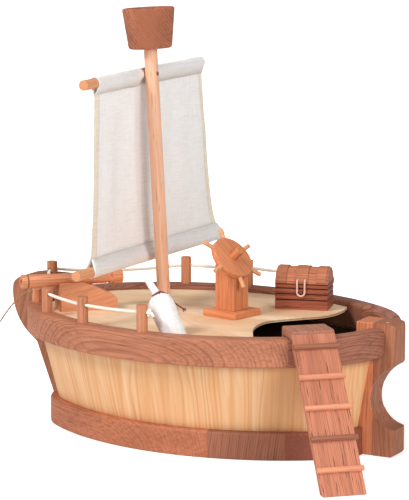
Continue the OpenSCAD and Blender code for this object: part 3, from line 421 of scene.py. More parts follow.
def veneer(name, inside):
    """Bent pine wall: upright grain, unrolled round the hull, with streaks and flame figure, a painted shade
    band under the gunwale, and with inside set a painted near-black shade of the hold.
    """
    s = Shader(name)
    flat = unrolled(s)
    shift = s.wander(s.stretch(flat, PINE_WAVES["wander"]), 1.0, WALL_WANDER)
    flat = s.vector("ADD", flat, s.stretch(shift, (1, 0, 0)))
    run, height, _ = s.split(flat)
    hills = s.noise(s.stretch(flat, PINE_WAVES["hills"]), detail=2.5)
    level = s.math("ADD", s.scaled(run, PINE_LINES), s.scaled(hills, PINE_HILLS))
    depth = s.scaled(s.random(s.math("FLOOR", level)), 1 - PINE_FAINTEST, PINE_FAINTEST)
    zone = s.step(s.noise(s.stretch(flat, PINE_WAVES["zone"])), 0.40, 0.62)
    line = s.math("MULTIPLY", s.ramp(s.math("FRACT", level), LATE_WOOD), depth)
    line = s.math("MULTIPLY", line, s.scaled(zone, 1 - PINE_CALM, PINE_CALM))
    streak = s.step(s.noise(s.stretch(flat, PINE_WAVES["streak"]), detail=4, rough=0.6), 0.36, 0.70)
    fibre = s.noise(s.stretch(flat, PINE_WAVES["fibre"]), detail=3)
    broad = s.step(s.noise(s.stretch(flat, PINE_WAVES["broad"])), 0.38, 0.66)
    # Painted shade: the wall's head darkens under the gunwale's overhang
    painted_gunwale_shade = s.step(s.math("SUBTRACT", height, WALL_HEAD[2] - GUNWALE_SHADE_DEPTH), 0.0, GUNWALE_SHADE_DEPTH)
    colour = s.mix(streak, PINE["light"], PINE["streak"])
    colour = s.tint(colour, broad, 0.45, PINE["broad"])
    colour = s.tint(colour, line, 0.85, PINE["line"])
    colour = s.mix(s.scaled(fibre, 0.75, -0.2), colour, PINE["fibre"])
    colour = s.tint(colour, painted_gunwale_shade, 0.45, PINE["painted_shade"])
    # Painted shade: the hold side of the wall is nearly black
    if inside:
        colour = s.mix(0.96, colour, PINE["hold"])
    return s.set(Base_Color=colour, Roughness=0.5, Specular_IOR_Level=0.3,
                 Normal=s.bump(s.math("ADD", streak, fibre), 0.12, 0.0003))


PLY = 0.0015
GLUE_LINE = [(0.44, 0.0), (0.5, 1.0), (0.94, 0.8), (1.0, 0.0)]
UPRIGHT = 0.6
BIRCH_SWIRL = 0.09
BIRCH_LINES = 13
# Waves per metre of the birch's marks, along and across the deck
BIRCH_WAVES = {
    "swirl": (5, 9, 1),
    "hills": (4, 15, 1),
    "fibre": (14, 500, 500),
}
BIRCH = {
    "light": rgb(255, 226, 190),
    "cloud": rgb(236, 194, 152),
    "line": rgb(196, 146, 104),
    "fibre": rgb(214, 170, 128),
    "glue": rgb(138, 92, 58),
}


def plywood(name):
    """Birch ply deck: peeled figure on the faces, plies on the edges."""
    s = Shader(name)
    place = s.coordinates()
    shift = s.wander(s.stretch(place, BIRCH_WAVES["swirl"]), 1.0, BIRCH_SWIRL)
    swirl = s.vector("ADD", place, s.stretch(shift, (1, 0.6, 0)))
    hills = s.noise(s.stretch(swirl, BIRCH_WAVES["hills"]), detail=2)
    cloud = s.step(hills, 0.38, 0.66)
    line = s.ramp(s.math("FRACT", s.scaled(hills, BIRCH_LINES)), LATE_WOOD)
    fibre = s.noise(s.stretch(place, BIRCH_WAVES["fibre"]), detail=3)
    colour = s.mix(cloud, BIRCH["light"], BIRCH["cloud"])
    colour = s.tint(colour, line, 0.22, BIRCH["line"])
    colour = s.mix(s.scaled(fibre, 0.5, -0.15), colour, BIRCH["fibre"])
    layer = s.math("FRACT", s.scaled(s.split(place)[2], 0.5 / PLY, -0.5 * DECK_LOW / PLY))
    edge = s.math("LESS_THAN", s.math("ABSOLUTE", s.split(s.facing())[2]), UPRIGHT)
    glue = s.math("MULTIPLY", s.ramp(layer, GLUE_LINE), edge)
    colour = s.tint(colour, glue, 0.75, BIRCH["glue"])
    return s.set(Base_Color=colour, Roughness=0.52, Specular_IOR_Level=0.3, Normal=s.bump(fibre, 0.2, 0.0003))


# Painted shade of the hold for the bottom board and cleats: near-black with a trace of grain
HOLD_SHADE_WAVES = (20, 400, 400)
HOLD_SHADE_DARK = rgb(30, 22, 17)
HOLD_SHADE_PALER = rgb(50, 38, 29)


def painted_hold_shade(name):
    """Painted near-black shade of the hold, with a trace of grain."""
    s = Shader(name)
    grain = s.noise(s.stretch(s.coordinates(), HOLD_SHADE_WAVES), detail=3)
    colour = s.mix(grain, HOLD_SHADE_DARK, HOLD_SHADE_PALER)
    return s.set(Base_Color=colour, Roughness=0.8, Normal=s.bump(grain, 0.2, 0.0004))


# Cloths and cords

THREAD_WANDER = 0.0008
# Waves per metre: drift of the threads, slubs across and along a thread, fuzz and patches of a cord
DRIFT_OF_THREADS = 60
SLUB_ACROSS = 900
SLUB_ALONG = 40
FUZZ = 1900
CORD_PATCH = 120


def cloth(name, light, shade, thread):
    """Plain weave: crossed threads with slubs, letting some light through."""
    s = Shader(name)
    place = s.coordinates()
    _, y, z = s.split(s.vector("ADD", place, s.wander(place, DRIFT_OF_THREADS, THREAD_WANDER)))
    turns = math.tau / (thread * MM)
    warp = s.math("SINE", s.math("MULTIPLY", y, turns))
    weft = s.math("SINE", s.math("MULTIPLY", z, turns))
    weave = s.scaled(s.math("MULTIPLY", warp, weft), 0.5, 0.5)
    upright = s.noise(s.stretch(place, (SLUB_ALONG, SLUB_ACROSS, SLUB_ALONG)), detail=3)
    level = s.noise(s.stretch(place, (SLUB_ALONG, SLUB_ALONG, SLUB_ACROSS)), detail=3)
    slub = s.step(s.scaled(s.math("ADD", upright, level), 0.5), 0.40, 0.62)
    colour = s.mix(slub, rgb(*light), rgb(*shade))
    colour = s.tint(colour, weave, 0.15, rgb(*shade))
    return s.set(Base_Color=colour, Roughness=0.9, Sheen_Weight=0.15, Specular_IOR_Level=0.15,
                 Subsurface_Weight=0.5, Subsurface_Radius=(1.0, 1.0, 1.0), Subsurface_Scale=0.004,
                 Normal=s.bump(s.math("ADD", weave, slub), 0.3, 0.0004))


def twine(name, light, dark, rough=0.85, sheen=0.3):
    """Fibrous cord: flecked fibres over the strands that its mesh has."""
    s = Shader(name)
    fibre = s.noise(s.coordinates(), FUZZ, detail=3, rough=0.7)
    patch = s.noise(s.coordinates(), CORD_PATCH)
    colour = s.mix(s.step(fibre, 0.35, 0.7), rgb(*light), rgb(*dark))
    colour = s.tint(colour, patch, 0.25, rgb(*dark))
    return s.set(Base_Color=colour, Roughness=rough, Sheen_Weight=sheen, Normal=s.bump(fibre, 0.4, 0.0003))


# Meshes

def piece(name, points, faces, material, body):
    """A new mesh piece in the ship's frame, riding on a body."""
    mesh = bpy.data.meshes.new(name)
    mesh.from_pydata([tuple(p) for p in points], [], faces)
    mesh.validate()
    mesh.shade_smooth()
    made = bpy.data.objects.new(name, mesh)
    show(made)
    mesh.materials.append(material)
    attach(made, body)
    return made


def grid_faces(rows, columns, closed=False):
    """Faces of a grid of points, row after row; closed joins each row's ends."""
    faces = []
    for j in range(rows - 1):
        for k in range(columns if closed else columns - 1):
            n = (k + 1) % columns
            faces.append((j * columns + k, j * columns + n, (j + 1) * columns + n, (j + 1) * columns + k))
    return faces


def resample(points, step):
    """Points a step apart along a polyline, its two ends kept."""
    points = [Vector(p) for p in points]
    lengths = [(b - a).length for a, b in zip(points, points[1:])]
    count = max(2, round(sum(lengths) / step))
    spacing = sum(lengths) / count
    made = [points[0]]
    k = 0
    passed = 0.0
    for i in range(1, count):
        while k < len(lengths) - 1 and passed + lengths[k] < i * spacing:
            passed += lengths[k]
            k += 1
        made.append(points[k].lerp(points[k + 1], (i * spacing - passed) / lengths[k]))
    return made + [points[-1]]


def rounded(points, passes):
    """A polyline with its corners cut, its ends kept."""
    points = [Vector(p) for p in points]
    for _ in range(passes):
        cut = [points[0]]
        for a, b in zip(points, points[1:]):
            cut += [a.lerp(b, 0.25), a.lerp(b, 0.75)]
        points = cut + [points[-1]]
    return points


def tube(name, path, radius, material, body, sides=12, closed=False):
    """A tube along a path. radius is a function of (length along, angle) in metres."""
    points = []
    side = None
    passed = 0.0
    n = len(path)
    for i, p in enumerate(path):
        before = path[i - 1] if i or closed else path[0]
        after = path[(i + 1) % n] if i < n - 1 or closed else path[-1]
        ahead = (after - before).normalized()
        side = side or ahead.orthogonal()
        side = (side - ahead * side.dot(ahead)).normalized()
        other = ahead.cross(side)
        passed += (p - path[i - 1]).length if i else 0.0
        for k in range(sides):
            t = math.tau * k / sides
            points.append(p + (side * math.cos(t) + other * math.sin(t)) * radius(passed, t))
    faces = grid_faces(n, sides, closed=True)
    if closed:
        last = (n - 1) * sides
        faces += [(last + k, last + (k + 1) % sides, (k + 1) % sides, k) for k in range(sides)]
    else:
        faces.append(tuple(range(sides))[::-1])
        faces.append(tuple(range((n - 1) * sides, n * sides)))
    return piece(name, points, faces, material, body)


STRAND_MEAN = 0.93
STRAND_SWELL = 0.07


def laid(radius, strands, lay):
    """Radius of a rope of twisted strands, one turn in each lay length."""
    def at(s, t):
        return radius * (STRAND_MEAN + STRAND_SWELL * math.cos(strands * (t - math.tau * s / lay)))
    return at


# Cords

def gunwale_at(t, inset):
    """Point of the gunwale's oval at normal angle t on the starboard side, moved in by an inset."""
    end = (3 * GUN_B - GUN_A) / 2
    side = 2 * GUN_A - GUN_B
    turn = math.degrees(math.atan2(4, 3))
    c = math.cos(math.radians(t))
    s = math.sin(math.radians(t))
    if t > 180 - turn:
        return Vector((end - GUN_A + (end - inset) * c, (end - inset) * s))
    return Vector(((side - inset) * c, GUN_B - side + (side - inset) * s))


def hole(post, side, along_rail):
    """Point on the rope's line near a rail post, on side -1 for port or 1 for starboard."""
    t, trim = post
    m = gunwale_at(t, GUN_W / 2)
    a = math.radians(t)
    x = m.x + along_rail * math.sin(a)
    y = side * (m.y - along_rail * math.cos(a))
    return Vector((x, y, GUN_TOP + ROPE_UP + trim))


def hang(a, b, drop, steps=8):
    """Points of a rope that hangs between two points."""
    places = [i / steps for i in range(steps + 1)]
    return [a.lerp(b, u) - Vector((0, 0, 4 * drop * u * (1 - u))) for u in places]


def rope_route():
    """From the aft port post round the bow post to the aft starboard post."""
    bow_in, bow_out = [Vector((BOW_POST_X, y, STEM_TOP + BOW_ROPE_UP)) for y in (-GRIP, GRIP)]
    ports = PORT_POSTS[::-1]
    route = [hole(ports[0], -1, GRIP + TAIL)]
    for a, b in zip(ports, ports[1:]):
        route += hang(hole(a, -1, -GRIP), hole(b, -1, GRIP), ROPE_SAG)
    route += hang(hole(ports[-1], -1, -GRIP), bow_in, BOW_SAG)
    route += hang(bow_out, hole(STAR_POSTS[0], 1, -GRIP), BOW_SAG)
    for a, b in zip(STAR_POSTS, STAR_POSTS[1:]):
        route += hang(hole(a, 1, GRIP), hole(b, 1, -GRIP), ROPE_SAG)
    return route + [hole(STAR_POSTS[-1], 1, GRIP + TAIL)]


ROPE_STRANDS = 3
ROPE_LAY = 0.014
ROPE_STEP = 0.0016
KNOT_R = 0.0026
KNOT_LAY = 0.012
KNOT_SIZE = 0.0038
KNOT_STEPS = 72
KNOT_BACK = mm(2, 0, 0)
# Degrees about x, y and z, the first turned over on the port side
KNOT_TURN = (20, 70, 15)
TAIL_R = 0.0022
TAIL_STEP = 0.001
# The tail after a knot, in millimetres from the rope's end, with y outwards
TAIL_BENDS = ((4, 3, 1), (7, 4, -4))
rope_look = twine("rope_look", (255, 250, 238), (236, 222, 198))
string_look = twine("string_look", (200, 144, 110), (136, 90, 64), rough=0.6, sheen=0.1)


def knot(name, centre, turn):
    """An overhand knot pulled tight, as a closed tube."""
    path = []
    for i in range(KNOT_STEPS):
        t = math.tau * i / KNOT_STEPS
        flat = Vector((math.sin(t) + 2 * math.sin(2 * t), math.cos(t) - 2 * math.cos(2 * t), 0))
        path.append(centre + turn @ (flat - Vector((0, 0, 1.5 * math.sin(3 * t)))) * (KNOT_SIZE / 3))
    return tube(name, path, laid(KNOT_R, ROPE_STRANDS, KNOT_LAY), rope_look, "hull", closed=True)


def make_rope():
    path = resample(rounded(rope_route(), 2), ROPE_STEP)
    rope = tube("rail_rope_lay", path, laid(ROPE_D / 2, ROPE_STRANDS, ROPE_LAY), rope_look, "hull")
    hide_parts("rail_rope")
    tail_round = laid(TAIL_R, ROPE_STRANDS, KNOT_LAY)
    for label, end, side in (("port", path[0], -1), ("star", path[-1], 1)):
        about_x, about_y, about_z = [math.radians(a) for a in KNOT_TURN]
        turn = Euler((about_x * side, about_y, about_z)).to_matrix()
        knot("rope_knot_" + label, end - KNOT_BACK, turn)
        bends = [end + mm(x, y * side, z) for x, y, z in TAIL_BENDS]
        tail = resample(rounded([end] + bends, 3), TAIL_STEP)
        tube("rope_tail_" + label, tail, tail_round, rope_look, "hull")


make_rope()

# The lace's points in millimetres before and after its turn round the mooring peg
LACE_IN = ((-325, -75, 150), (-315, -75, 164), (-305, -75, 176), (-295, -75, 186), (-285, -76, 194),
           (-275, -78, 202))
LACE_OUT = ((-247, -79, 206), (-235, -88, 208), (-222, -95, 208), (-213, -98, 204), (-210, -99, 196),
            (-210, -99, 188), (-212, -101, 181.5))
LACE_START = 250
LACE_TURN = 240
LACE_STEPS = 10
# How far below the peg's top the turn starts and ends, in millimetres
LACE_DOWN = (4, 1)
LACE_CLEAR = 0.6
LACE_LAY = 0.02
LACE_STEP = 0.0012


def make_lace():
    centre = gunwale_at(PEG_ANGLE, GUN_W / 2)
    r = (PEG_D + STRING_D) / 2 + LACE_CLEAR * MM
    ring = []
    for i in range(LACE_STEPS + 1):
        u = i / LACE_STEPS
        t = math.radians(LACE_START - LACE_TURN * u)
        height = GUN_TOP + PEG_H - (LACE_DOWN[0] + (LACE_DOWN[1] - LACE_DOWN[0]) * u) * MM
        ring.append(Vector((centre.x + r * math.cos(t), -centre.y + r * math.sin(t), height)))
    route = [mm(*p) for p in LACE_IN] + ring + [mm(*p) for p in LACE_OUT]
    path = resample(rounded(route, 3), LACE_STEP)
    lace_round = laid(STRING_D / 2, 2, LACE_LAY)
    lace = tube("bow_string_leather", path, lace_round, string_look, "hull", sides=10)
    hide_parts("bow_string")


make_lace()


# CAD nodes with rounded edges and their woods

# Weld distance in millimetres and angles in degrees
WELD = 0.02
FLAT_ANGLE = 1.2
EDGE_ANGLE = 38
EDGE_STEPS = 3
FACE_WEIGHT = 60


def soften(node, material, edge):
    """A CAD node with its own material and with edges rounded by so many millimetres."""
    thing = NODES[node]
    mesh = thing.data
    for name in ("custom_normal", "sharp_edge"):
        if name in mesh.attributes:
            mesh.attributes.remove(mesh.attributes[name])
    mesh.shade_smooth()
    mesh.materials.clear()
    mesh.materials.append(material)
    weld = thing.modifiers.new("weld", "WELD")
    weld.merge_threshold = WELD * MM
    plane = thing.modifiers.new("plane", "DECIMATE")
    plane.decimate_type = "DISSOLVE"
    plane.angle_limit = math.radians(FLAT_ANGLE)
    bevel = thing.modifiers.new("bevel", "BEVEL")
    bevel.limit_method = "ANGLE"
    bevel.angle_limit = math.radians(EDGE_ANGLE)
    bevel.width = edge * MM
    bevel.segments = EDGE_STEPS
    normals = thing.modifiers.new("normals", "WEIGHTED_NORMAL")
    normals.weight = FACE_WEIGHT


def second_look(node, material, chosen):
    """Gives a material of their own to the faces of a node that a function chooses."""
    mesh = NODES[node].data
    mesh.materials.append(material)
    for face in mesh.polygons:
        face.material_index = 1 if chosen(face) else 0


def axis_of(joint):
    return Vector(JOINTS[joint]["axis"])


RAKE = axis_of("rig_turn")
YARD_AXIS = axis_of("sail_swing")
WHEEL_AXIS = axis_of("wheel_spin")
LID_AXIS = axis_of("lid_open")
CANNON_AXIS = axis_of("cannon_slide")
# Each board has its own pith line: kind of wood, grain, a point of the pith, edge rounding in millimetres
WOODS = {
    "gun_port_fore": (CHERRY, (0.9925, -0.122, 0.0), (-0.048, -0.234, 0.145), 0.3),
    "gun_star_fore": (CHERRY_DARK, (0.95, 0.30, 0.03), (-0.05, 0.195, 0.130), 0.3),
    "gun_port_aft": (CHERRY_FIGURED, (0.60, 0.78, 0.16), (0.275, -0.110, 0.120), 0.3),
    "gun_star_aft": (CHERRY_FIGURED, (0.60, -0.78, 0.10), (0.262, 0.092, 0.125), 0.3),
    "ring_port_fore": (CHERRY_WARM, (0.766, -0.643, 0.05), (-0.225, -0.070, -0.020), 0.3),
    "ring_star_fore": (CHERRY_WARM, (0.90, 0.40, 0.03), (-0.15, 0.110, -0.015), 0.3),
    "ring_port_mid": (CHERRY_DARK, (0.10, 0.12, 1.0), (0.30, -0.068, 0.0), 0.3),
    "ring_star_mid": (CHERRY_DARK, (0.10, -0.12, 1.0), (0.30, 0.068, 0.0), 0.3),
    "ring_port_aft": (CHERRY_DEEP, (0.866, -0.5, 0.0), (0.312, 0.055, -0.12), 0.3),
    "ring_star_aft": (CHERRY_DEEP, (0.866, 0.5, 0.0), (0.312, -0.055, -0.12), 0.3),
    "stem": (STERN_BROWN, (0.30, 0.02, 1.0), (-0.36, 0.07, 0.10), 3.0),
    "stern_post": (STERN_ORANGE, (0.02, 0.0, 1.0), (0.22, 0.08, 0.0), 2.0),
    "stern_block_top": (STERN_BROWN, (0.05, 0.03, 1.0), (0.34, 0.07, 0.0), 2.0),
    "stern_block_low": (STERN_BROWN, (-0.10, 0.05, 1.0), (0.35, 0.06, 0.0), 2.0),
    "stern_plug": (PALE, (0, 0, 1), (0.291, 0.01, 0.0), 0.4),
    "mast_step": (PALE, (0, 1, 0), (-0.08, 0.0, 0.05), 1.0),
    "mast": (BEECH, RAKE, (-0.085, 0.025, 0.2), 0.6),
    "crows_nest": (NEST_WOOD, (0.45, -0.85, 0.1), (-0.045, 0.10, 0.665), 1.0),
    "yard_upper": (YARD_WOOD, YARD_AXIS, (-0.125, 0.0, 0.542), 0.8),
    "yard_lower": (YARD_WOOD, (0, 1, -0.01), (-0.128, 0.0, 0.266), 0.8),
    "yard_peg": (RUNG_DARK, (1, 0, 0), (0.0, 0.004, 0.53), 0.8),
    "helm_plate_board": (ALDER, (1, -0.25, 0), (0.0, 0.03, 0.13), 1.5),
    "helm_column": (ALDER, (0.04, 0.03, 1), (0.10, -0.06, 0.2), 1.0),
    "helm_wheel": (ALDER, (-0.6, -0.1, 0.7), (0.05, 0.09, 0.2), 1.2),
    "helm_axle": (ALDER, WHEEL_AXIS, (0.03, 0.02, 0.264), 1.5),
    "helm_spokes": (SPOKE_WOOD, (0, 0.4, 1), (0.03, 0.03, 0.26), 1.0),
    "chest_body": (CHEST_WOOD, LID_AXIS, (0.1, 0.05, 0.12), 0.8),
    "chest_lid": (LID_WOOD, LID_AXIS, (0.1, 0.12, 0.15), 0.8),
    "chest_bands": (LID_WOOD, LID_AXIS, (0.1, 0.05, 0.19), 0.4),
    "chest_latch": (CHEST_WOOD, (0, 1, 0), (0.1, 0.09, 0.2), 0.8),
    "chest_hinge": (POST_WOOD, LID_AXIS, (0.1, 0.15, 0.215), 0.4),
    "cannon_barrel": (CANNON_WOOD, CANNON_AXIS, (-0.2, -0.06, 0.205), 0.5),
    "cannon_carriage": (CARRIAGE_WOOD, (0.70, 0.68, 0.25), (-0.15, -0.06, 0.09), 1.2),
    "cannon_pin": (PALE, (0, 0, 1), (-0.19, -0.07, 0.2), 0.5),
    "ladder_plank": (LADDER_WOOD, (0.41, -0.43, -0.80), (0.25, -0.16, 0.0), 1.0),
    "ladder_hook": (HOOK_WOOD, (0.69, -0.72, 0.0), (0.23, -0.1, 0.13), 1.5),
    "ladder_rungs": (RUNG_WOOD, (0.72, 0.69, 0.0), (0.28, -0.2, 0.1), 1.0),
    "rail_posts_port": (POST_WOOD, (0.02, 0.0, 1), (-0.12, -0.15, 0.2), 1.0),
    "rail_posts_star": (POST_WOOD, (0.02, 0.0, 1), (-0.03, 0.17, 0.2), 1.0),
    "rail_post_bow": (POST_WOOD, (0.0, 0.02, 1), (-0.26, 0.015, 0.2), 1.0),
    "bow_peg": (CANNON_WOOD, (0.0, 0.02, 1), (-0.25, -0.06, 0.2), 1.5),
}
# Gaps of the chest's boards and the cannon's groove: direction and places along it
CHEST_GAPS = [DECK_TOP + CHEST_H * level for level in (0.39, 0.61, 0.83, 1.0)]
CUFF = 0.0096
MUZZLE = min(v.co.dot(CANNON_AXIS) for v in NODES["cannon_barrel"].data.vertices)
GAPS = {node: ((0, 0, 1), CHEST_GAPS) for node in ("chest_body", "chest_lid", "chest_bands")}
GAPS["cannon_barrel"] = (CANNON_AXIS, [MUZZLE + CUFF])
# Edge rounding of the flat boards and of the walls, in millimetres
BOARD_EDGE = 0.6
WALL_EDGE = 0.4
for node, (kind, grain, pith, edge) in WOODS.items():
    soften(node, wood(node + "_wood", kind, grain, pith, GAPS.get(node)), edge)

# The bottom board and cleats get the hold's painted near-black shade
hold_painted_shade = painted_hold_shade("hold_painted_shade")
for node in ("bottom_board", "cleat_port", "cleat_star"):
    soften(node, hold_painted_shade, BOARD_EDGE)
soften("deck", plywood("deck_ply"), BOARD_EDGE)

# The walls get a painted near-black shade on the side of the hold, apart from their level edges
LEVEL = 0.9


def faces_hold(face):
    outward = face.center.x * face.normal.x + face.center.y * face.normal.y
    return outward < 0 and abs(face.normal.z) < LEVEL


wall_look = veneer("wall_veneer", inside=False)
wall_inside = veneer("wall_inside", inside=True)
for node in ("wall_port", "wall_star"):
    soften(node, wall_look, WALL_EDGE)
    second_look(node, wall_inside, faces_hold)

# The hollow's face of the stern post is in the blocks' browner wood
HOLLOW = (0.045, 0.135)
HOLLOW_PITH = (0.33, 0.02, 0.0)
AFT = 0.3


def in_hollow(face):
    return HOLLOW[0] < face.center.z < HOLLOW[1] and face.normal.x > AFT


hollow_look = wood("stern_hollow_wood", STERN_BROWN, WOODS["stern_post"][1], HOLLOW_PITH)
second_look("stern_post", hollow_look, in_hollow)

# The second and the top rung are of a darker stick
DARK_RUNGS = (1, 4)


def on_dark_rung(face):
    return round((face.center.z - RUNG_LOW) / RUNG_STEP) in DARK_RUNGS


rung_look = wood("ladder_rungs_dark", RUNG_DARK, *WOODS["ladder_rungs"][1:3])
second_look("ladder_rungs", rung_look, on_dark_rung)


# Sail: a sheet sewn round both yards in loose sleeves, with side hems and stitches

YARD = Vector(JOINTS["sail_swing"]["pos_m"])
BOOM_Z = (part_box("yard_lower")[0].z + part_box("yard_lower")[1].z) / 2
COLUMNS = 96
ROWS = 72
CLOTH_T = 0.0009
# Edges along the ship's breadth, at the upper yard and at the lower one
PORT_EDGE = (-0.138, -0.154)
STAR_EDGE = 0.1835
STAR_RUN = 0.048
STAR_KICK = 0.0185
KICK_POWER = 12
# Sleeves: radius on the yards, first turns of their arcs in degrees, seams as parts of the drop
WRAP = 0.0085
ARC_TOP = -30
ARC_LOW = 150
ARC_STEP = 10
ARC_POINTS = 25
SEAM_TOP = 0.06
SEAM_LOW = 0.93
SEAM_OUT = 0.0014
# The upper sleeve is open round the mast: half width, depth below the yard, and how far aft it starts
NOTCH = 0.009
NOTCH_DOWN = 0.0115
NOTCH_AFT = 0.003
# Height, place and width of the pleats beside the mast; height, half waves and slant of the folds
PLEATS = ((0.0050, 0.36, 0.035), (-0.0040, 0.43, 0.03))
FOLDS = ((0.0018, 5, 1.2), (0.0010, 13, 2.5))
BELLY = 0.006
FREE_POWER = 0.8
RIPPLE = 0.0016
RIPPLE_WAVES = (7, 5)
RIPPLE_SEED = 3.7


def sail_y(u, v):
    port = PORT_EDGE[0] + (PORT_EDGE[1] - PORT_EDGE[0]) * v
    star = STAR_EDGE + STAR_RUN * v + STAR_KICK * v ** KICK_POWER
    return port + (star - port) * u


def bell(x, centre, width):
    return math.exp(-((x - centre) / width) ** 2)


def sail_wave(u, v):
    """How far the cloth stands aft of its flat plane: belly, main folds and a pleat beside the mast."""
    free = math.sin(math.pi * v) ** FREE_POWER
    pleat = sum(height * bell(u, place, width) for height, place, width in PLEATS)
    folds = sum(height * math.sin(waves * math.pi * u + slant * v) for height, waves, slant in FOLDS)
    ripple = RIPPLE * noise.noise(Vector((u * RIPPLE_WAVES[0], v * RIPPLE_WAVES[1], RIPPLE_SEED)))
    return free * (pleat + folds + ripple - BELLY * math.sin(math.pi * u))


def yard_at(y):
    return YARD + YARD_AXIS * (y / YARD_AXIS.y)


def sail_at(u, v, lift=0.0):
    """A point of the hanging cloth, lifted aft."""
    top = yard_at(sail_y(u, 0))
    x = top.x + (YARD.x - top.x) * v + sail_wave(u, v) + lift
    return Vector((x, sail_y(u, v), top.z + (BOOM_Z - top.z) * v))


def sleeve_arc(centre, first):
    """The part of a sleeve that lies on a yard, from its first turn on."""
    turns = [math.radians(first + ARC_STEP * i) for i in range(ARC_POINTS)]
    return [centre + Vector((math.cos(t), 0, math.sin(t))) * WRAP for t in turns]


def sail_section(u):
    """The cloth's line at width u: seam, over the upper yard, down, under the lower yard, seam."""
    top = sleeve_arc(yard_at(sail_y(u, 0)), ARC_TOP)
    low = sleeve_arc(Vector((YARD.x, sail_y(u, 1), BOOM_Z)), ARC_LOW)
    first = math.ceil(SEAM_TOP * ROWS)
    last = math.floor(SEAM_LOW * ROWS)
    hung = [sail_at(u, j / ROWS) for j in range(first, last + 1)]
    top_seam = [sail_at(u, SEAM_TOP, SEAM_OUT)]
    low_seam = [sail_at(u, SEAM_LOW, SEAM_OUT)]
    return top_seam + top + hung + low + low_seam


def by_mast(p):
    return abs(p.y) < NOTCH and p.z > YARD.z - NOTCH_DOWN and p.x > YARD.x + NOTCH_AFT


sail_look = cloth("sail_linen", (255, 251, 248), (244, 237, 232), thread=0.9)
hem_look = cloth("sail_hem", (248, 238, 218), (234, 221, 200), thread=0.9)
thread_look = twine("sewing_thread", (240, 232, 216), (214, 200, 176))

# Hems: edge and reach from it as parts of the sail's width, lift of the strip and of its inner edge
HEMS = {"sail_hem_port": (0.0, 0.042), "sail_hem_star": (1.0, -0.034)}
HEM_STEPS = 4
HEM_LIFT = 0.0011
HEM_EDGE_LIFT = 0.0004


def make_sail():
    sections = [sail_section(i / COLUMNS) for i in range(COLUMNS + 1)]
    points = [p for line in sections for p in line]
    faces = []
    for corners in grid_faces(COLUMNS + 1, len(sections[0])):
        middle = sum((points[c] for c in corners), Vector()) / 4
        if not by_mast(middle):
            faces.append(corners)
    sheet = piece("sail_cloth", points, faces, sail_look, "sail_set")
    bm = bmesh.new()
    bm.from_mesh(sheet.data)
    bmesh.ops.delete(bm, geom=[v for v in bm.verts if not v.link_faces], context="VERTS")
    area = sum(f.calc_area() for f in bm.faces)
    bm.to_mesh(sheet.data)
    bm.free()
    thick = sheet.modifiers.new("thick", "SOLIDIFY")
    thick.thickness = CLOTH_T
    thick.offset = 0
    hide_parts("sail")
    hems = [make_hem(name, edge, reach) for name, (edge, reach) in HEMS.items()]
    hems + [make_seams()]


def make_hem(name, edge, reach):
    """A folded strip down one side of the sail, on its aft face."""
    points = []
    rows = [SEAM_TOP + (SEAM_LOW - SEAM_TOP) * j / ROWS for j in range(ROWS + 1)]
    for v in rows:
        for k in range(HEM_STEPS + 1):
            lift = HEM_LIFT if k < HEM_STEPS else HEM_EDGE_LIFT
            points.append(sail_at(edge + reach * k / HEM_STEPS, v, lift))
    return piece(name, points, grid_faces(ROWS + 1, HEM_STEPS + 1), hem_look, "sail_set")


THREAD_R = 0.00032
STITCH_STEP = 0.0016
STITCH_SIDES = 5
# Rings of one stitch: place along it, rise above the cloth and size, both as parts of the thread's radius
STITCH_RISE = ((0, -0.4, 0.5), (0.3, 0.5, 1), (0.7, 0.5, 1), (1, -0.4, 0.5))
# Rows of stitches: steps over the whole sail, the steps sewn, and the lift off the hanging cloth
SEAM_STEPS = 240
SEAM_SPAN = range(2, 239)
SEAM_LIFT = 0.0024
HEM_SEAMS = (0.038, 0.970)
HEM_SEAM_STEPS = 200
HEM_SEAM_SPAN = range(14, 185)
HEM_SEAM_LIFT = 0.0016
# Depth below the yard down to which the mast's notch leaves stitches out
UNSEWN = 0.02


def make_seams():
    """Rows of stitches: along both sleeves' seams and down both side hems."""
    lines = []
    for v in (SEAM_TOP, SEAM_LOW):
        lines.append([sail_at(i / SEAM_STEPS, v, SEAM_LIFT) for i in SEAM_SPAN])
    for edge in HEM_SEAMS:
        lines.append([sail_at(edge, j / HEM_SEAM_STEPS, HEM_SEAM_LIFT) for j in HEM_SEAM_SPAN])
    points = []
    faces = []
    for line in lines:
        spots = resample(line, STITCH_STEP)
        for a, b in zip(spots[::2], spots[1::2]):
            if abs(a.y) > NOTCH or a.z < YARD.z - UNSEWN:
                add_stitch(points, faces, a, b)
    return piece("sail_stitches", points, faces, thread_look, "sail_set")


def add_stitch(points, faces, a, b):
    """One stitch: a short thread that dips into the cloth at both ends."""
    base = len(points)
    aft = Vector((1, 0, 0))
    side = (b - a).normalized().cross(aft).normalized()
    for place, rise, size in STITCH_RISE:
        centre = a.lerp(b, place) + aft * rise * THREAD_R
        for k in range(STITCH_SIDES):
            t = math.tau * k / STITCH_SIDES
            points.append(centre + (side * math.cos(t) + aft * math.sin(t)) * THREAD_R * size)
    for face in grid_faces(len(STITCH_RISE), STITCH_SIDES, closed=True):
        faces.append(tuple(base + c for c in face))


make_sail()


# Sack: a small cotton bag, gathered and tied at its neck

SACK_AT = Vector((0.027, -0.163, DECK_TOP))
SACK_LEAN = 27
SACK_H = 0.064
SACK_ROWS = 72
SACK_SIDES = 96
NECK_R = 0.0055
NECK_LEAN = 10
# Height as a part of the height to the tie, and radius in millimetres
SACK_OUTLINE = ((-0.16, 16.4), (0.0, 16.8), (0.2, 17.4), (0.45, 18.0), (0.65, 18.3), (0.78, 17.9),
                (0.87, 15.8), (0.93, 11.4), (0.975, 7.2), (1.0, 5.5), (1.03, 5.4), (1.1, 5.4), (1.46, 5.0))
